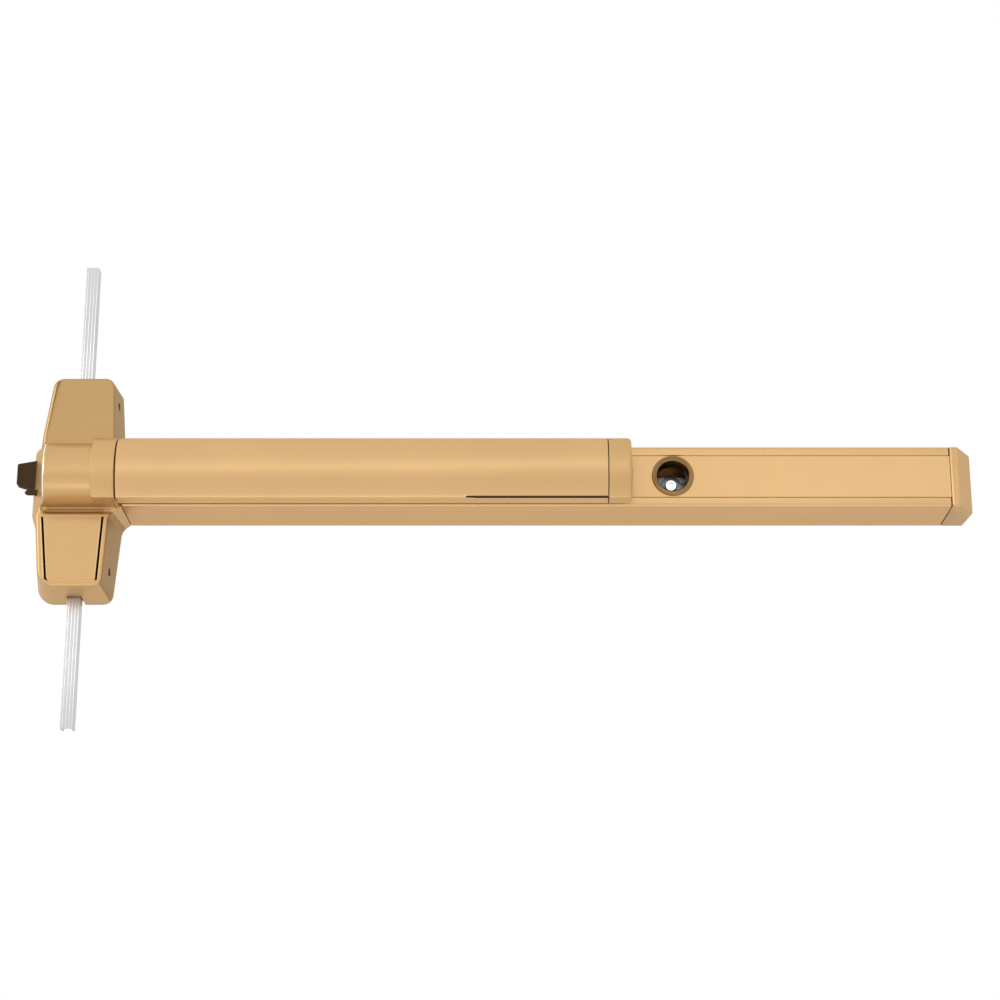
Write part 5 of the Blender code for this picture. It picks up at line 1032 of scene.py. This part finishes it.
def cap_plan(start, inset):
    """Plan of the cap from the rail round to the door: straight lines with softened corners."""
    front_x = start + CAP_FRONT_LENGTH
    run = CAP_CORNER_X - front_x
    fall = CAP_CORNER_DEPTH - RAIL_DEPTH
    length = math.hypot(run, fall)
    slant_x = front_x + inset * fall / length
    slant_depth = RAIL_DEPTH - inset * run / length
    front_depth = RAIL_DEPTH - inset
    along = (front_depth - slant_depth) / fall
    corner_a = (slant_x + run * along, -front_depth)
    end_run = CAP_CORNER_X - CAP_END_X
    end_x = CAP_CORNER_X - inset
    along = (end_x - slant_x) / run
    corner_b = (end_x, -(slant_depth + fall * along))
    last = (end_x - end_run, 0.0)
    corners = [(start, -front_depth), corner_a, corner_b, last]
    return np.concatenate([[(start, 0.0)], softened(corners, CAP_CORNER_SOFT, 6)])


def ring_piece():
    """The cylinder ring: a flange with a rounded rim, a hollow between two rolls, and a sleeve."""
    face = -RAIL_DEPTH - SEAT_GAP
    front = face - RING_PROUD
    rim = RING_RADIUS
    bore = RING_BORE
    profile = [(bore + RING_SLEEVE_WALL, face), (rim - RING_EDGE, face)]
    for a in np.radians(np.linspace(0, 90, 8)):
        rise = RING_EDGE + RING_ROLL_RISE * math.sin(a)
        profile.append((rim - RING_ROLL * (1 - math.cos(a)), face - rise))
    profile += [(rim - away, front + back) for away, back in RING_HOLLOW]
    profile += [(bore + away, front + back) for away, back in RING_INNER_ROLL]
    profile += [(bore, face - RING_BORE_EDGE), (bore, face + RING_SLEEVE_DEPTH)]
    profile += [(bore + RING_SLEEVE_WALL, face + RING_SLEEVE_DEPTH), profile[0]]
    centre = (RING_X, RING_Z)
    node = ("cylinder_ring",)
    ring = lathe("cylinder_collar", profile, "Y", centre, "cast_bronze", "root", node, 128, 28)
    # The ring takes a darker bronze than the cover
    ring.data.materials[0] = FINISHES["ring_dark_bronze"]


# Rods, bolt and screws


def rod_section():
    """Section of a rod: a channel whose front has shallow rounded ribs, a cosine in steps."""
    half = ROD_WIDTH / 2
    rear = -ROD_FRONT_DEPTH + ROD_DEPTH
    inner = half - ROD_WALL
    u = np.linspace(-1, 1, 65)
    edge = np.maximum(0, np.abs(u) - ROD_RIBBED_SHARE) / (1 - ROD_RIBBED_SHARE)
    wave = 0.5 - 0.5 * np.cos(u * math.pi * ROD_RIBS)
    drop = ROD_RIB * wave**3 * (edge == 0) + 2 * ROD_RIB * (1 - np.sqrt(1 - edge * edge))
    front = np.stack([ROD_X + half * u, -ROD_FRONT_DEPTH + drop], axis=1)
    back = [(ROD_X + half, rear), (ROD_X + inner, rear), (ROD_X + inner, -ROD_FRONT_DEPTH + ROD_WALL)]
    back += [(ROD_X - inner, -ROD_FRONT_DEPTH + ROD_WALL), (ROD_X - inner, rear), (ROD_X - half, rear)]
    return np.concatenate([front, back])


def bolt_piece():
    """The bolt: a drafted outline carried into the depth, its tip drawn back on the strike side."""
    corners = [(BOLT_TAIL_X, BOLT_ROOT_BOTTOM), (BOLT_TAIL_X, BOLT_ROOT_TOP)]
    corners += [(BOLT_ROOT_X, BOLT_ROOT_TOP), (BOLT_TIP_X, BOLT_TIP_TOP)]
    corners += [(BOLT_TIP_X, BOLT_TIP_BOTTOM), (BOLT_ROOT_X, BOLT_ROOT_BOTTOM)]
    closed = [corners[-1], *corners, corners[0]]
    outline = softened(closed, BOLT_CORNER_SOFT, 4)[1:-1]
    into = inward(outline)
    stations = rounded_end(BOLT_FRONT_DEPTH, BOLT_SOFT_EDGE, np.linspace(90, 0, 6))
    slope_end = BOLT_REAR_DEPTH + BOLT_SLOPE_DEPTH
    stations += [(depth, 0.0) for depth in np.linspace(slope_end, BOLT_REAR_DEPTH, 9)]
    rings = []
    for depth, inset in stations:
        slope = np.clip((slope_end - depth) / BOLT_SLOPE_DEPTH, 0, 1)
        tip = BOLT_TIP_X + (BOLT_ROOT_X - BOLT_TIP_X) * slope
        ring = outline + into * inset
        ring = np.stack([np.maximum(ring[:, 0], tip), ring[:, 1]], axis=1)
        rings.append(in_order("Y", -depth, ring))
    mesh_piece("bolt", np.concatenate(rings), capped(rings), "dark_steel", "latch", ("latch_bolt",))


def plunger_piece():
    """The small plunger: a round bar with an elliptic nose."""
    turns = np.radians(np.linspace(90, 0, 10))
    radius = DEADLATCH_RADIUS
    nose = DEADLATCH_NOSE * radius
    profile = [(radius * math.cos(a), DEADLATCH_TIP_X + nose * (1 - math.sin(a))) for a in turns]
    profile += [(radius, DEADLATCH_TAIL_X), (0.0, DEADLATCH_TAIL_X)]
    centre = (-DEADLATCH_DEPTH, DEADLATCH_Z)
    lathe("plunger", profile, "X", centre, "dark_steel", "deadlatch_body", ("deadlatch",), 48)


def side_screw(name, z, replaced):
    """A cover screw: a skirt at the surface, a fine gap, and a low dome of the head."""
    _, _, base, front = body_sides(np.array(z))
    surface = float(base + (front - base) * SCREW_DEPTH / CASE_DEPTH)
    radius = SCREW_HEAD_RADIUS
    outer = radius + SCREW_SKIRT_WALL
    skirt = surface + SCREW_SKIRT_PROUD
    tail = surface - SCREW_LENGTH
    under = surface - SCREW_HEAD_LENGTH
    profile = [(0.0, tail), (SCREW_RADIUS, tail), (SCREW_RADIUS, under), (outer, under)]
    profile += [(outer, skirt), (radius + SCREW_GAP, skirt), (radius, skirt - SCREW_GAP_DEPTH)]
    for a in np.radians(np.linspace(0, 90, 7)):
        profile.append((radius * math.cos(a), skirt - SCREW_DOME_FOOT + SCREW_DOME_RISE * math.sin(a)))
    centre = (-SCREW_DEPTH, z)
    lathe(name, profile, "X", centre, "dark_steel", "root", (replaced,), 48, 35)


def cam_outline(direction):
    """The cam's radius in each direction: the disc, or the arm's round end carried along the arm."""
    along = np.linspace(0, CAM_ARM, 40)
    across = (along[None, :] * direction[:, 1:]) ** 2
    reach = along[None, :] * direction[:, :1] + np.sqrt(np.maximum(0, CAM_ARM_RADIUS**2 - across))
    reach = np.where(CAM_ARM_RADIUS**2 >= across, reach, 0)
    return np.maximum(CAM_RADIUS, reach.max(axis=1))


def cam_piece():
    """The dogging cam: disc, hooked arm and a boss with a shallow hexagon, as one turned form."""
    turn = np.arange(CAM_STEPS) * (2 * math.pi / CAM_STEPS)
    direction = np.stack([np.cos(turn), np.sin(turn)], axis=1)
    rim = cam_outline(direction)
    centre_line = np.zeros(CAM_STEPS)
    sector = (turn + math.pi / 6) % (math.pi / 3) - math.pi / 6
    hexagon = CAM_SOCKET * math.cos(math.pi / 6) / np.cos(sector)
    socket = hexagon - CAM_SOCKET_EDGE
    boss = np.full(CAM_STEPS, CAM_BOSS_RADIUS)
    soft = CAM_SOFT
    front = -CAM_DEPTH - CAM_THICKNESS
    top = front - CAM_BOSS_HEIGHT
    rings = [(centre_line, -CAM_DEPTH), (rim - soft, -CAM_DEPTH), (rim, -CAM_DEPTH - soft)]
    rings += [(rim, front + soft), (rim - soft, front), (boss + soft, front)]
    rings += [(boss, front - soft), (boss, top + soft), (boss - soft, top), (hexagon, top)]
    rings += [(socket, top + CAM_SOCKET_EDGE), (socket, top + CAM_SOCKET_DEPTH)]
    rings.append((centre_line, top + CAM_SOCKET_DEPTH))
    centre = np.array((RING_X, CAM_PIVOT_Z))
    points = [in_order("Y", along, direction * radius[:, None] + centre) for radius, along in rings]
    faces = grid_quads(len(points), CAM_STEPS, True).tolist()
    points = np.concatenate(points)
    cam = mesh_piece("hold_open_cam", points, faces, "bright_nickel", "dogging", ("dogging_cam",))
    cam.data.materials[0] = FINISHES["blued_steel"]
    marked(cam, cam_boss, ("bright_nickel",))


def cam_boss(_x, depth, *_):
    """The cam's boss, which stands in front of its disc."""
    return depth > CAM_DEPTH + CAM_THICKNESS + CAM_SOFT / 2


def rod_pieces():
    """Both rods, from where they start in the case to their plain cuts."""
    section = rod_section()
    rows = [("rod_upper", ROD_INNER_END, TOP_ROD_END, "upper_rod", "top_rod")]
    rows.append(("rod_lower", BOTTOM_ROD_END, -ROD_INNER_END, "lower_rod", "bottom_rod"))
    for name, start, end, body, node in rows:
        carried(name, section, "Z", start, end, ROD_END_SOFT, "rod_aluminium", body, (node,), 40)


# Stage


def make_floor():
    """A pale square floor under the device."""
    material, shader = shader_of("pale_floor")
    shader.inputs["Base Color"].default_value = (0.88, 0.88, 0.87, 1)
    shader.inputs["Roughness"].default_value = 0.8
    sides = [(-1, -1), (1, -1), (1, 1), (-1, 1)]
    corners = [(x * FLOOR_HALF, y * FLOOR_HALF, FLOOR_Z) for x, y in sides]
    mesh = bpy.data.meshes.new("floor")
    mesh.from_pydata(corners, [], [(0, 1, 2, 3)])
    mesh.materials.append(material)
    floor = placed("floor", mesh)


def make_world():
    """White to the camera, in reflections and through things, softer in the light that it gives."""
    world = bpy.data.worlds.new("studio")
    world.use_nodes = True
    bpy.context.scene.world = world
    background = world.node_tree.nodes["Background"]
    background.inputs["Color"].default_value = (1, 1, 1, 1)
    path = add(world, "ShaderNodeLightPath")
    seen = path.outputs["Is Camera Ray"]
    for kind in ("Is Glossy Ray", "Is Transmission Ray"):
        either = add(world, "ShaderNodeMath")
        either.operation = "MAXIMUM"
        wire(world, seen, either.inputs[0])
        wire(world, path.outputs[kind], either.inputs[1])
        seen = either.outputs["Value"]
    strength = spread(world, seen, 0.0, 1.0, WORLD_LIGHT, 1.0)
    wire(world, strength, background.inputs["Strength"])


def area_light(name, place, aim, width, height, power, roll):
    """A soft rectangular lamp that looks at a point, rolled about that line by degrees."""
    data = bpy.data.lights.new(name, "AREA")
    data.shape = "RECTANGLE"
    data.size = width
    data.size_y = height
    data.energy = power
    lamp = placed(name, data)
    lamp.location = place
    direction = Vector(aim) - Vector(place)
    lamp.rotation_euler = direction.to_track_quat("-Z", "Y").to_euler()
    lamp.rotation_euler.rotate_axis("Z", math.radians(roll))


def make_camera():
    """The camera of the photo, as fitted to it."""
    data = bpy.data.cameras.new("camera")
    data.lens = LENS
    data.sensor_width = SENSOR
    camera = placed("camera", data)
    camera.location = CAMERA_PLACE
    camera.rotation_euler = (math.radians(90 + CAMERA_RISE), 0, 0)
    bpy.context.scene.camera = camera


bpy.context.scene.view_settings.view_transform = "Standard"
make_floor()
make_world()
make_camera()
for lamp in LAMPS:
    area_light(*lamp)

cover_piece()
pad_piece()
pad_end_piece()
rail_piece()
end_cap_piece()
ring_piece()
rod_pieces()
bolt_piece()
plunger_piece()
side_screw("side_screw_upper", SCREW_UPPER_Z, "cover_screw_upper")
side_screw("side_screw_lower", SCREW_LOWER_Z, "cover_screw_lower")
cam_piece()
dress_nodes()
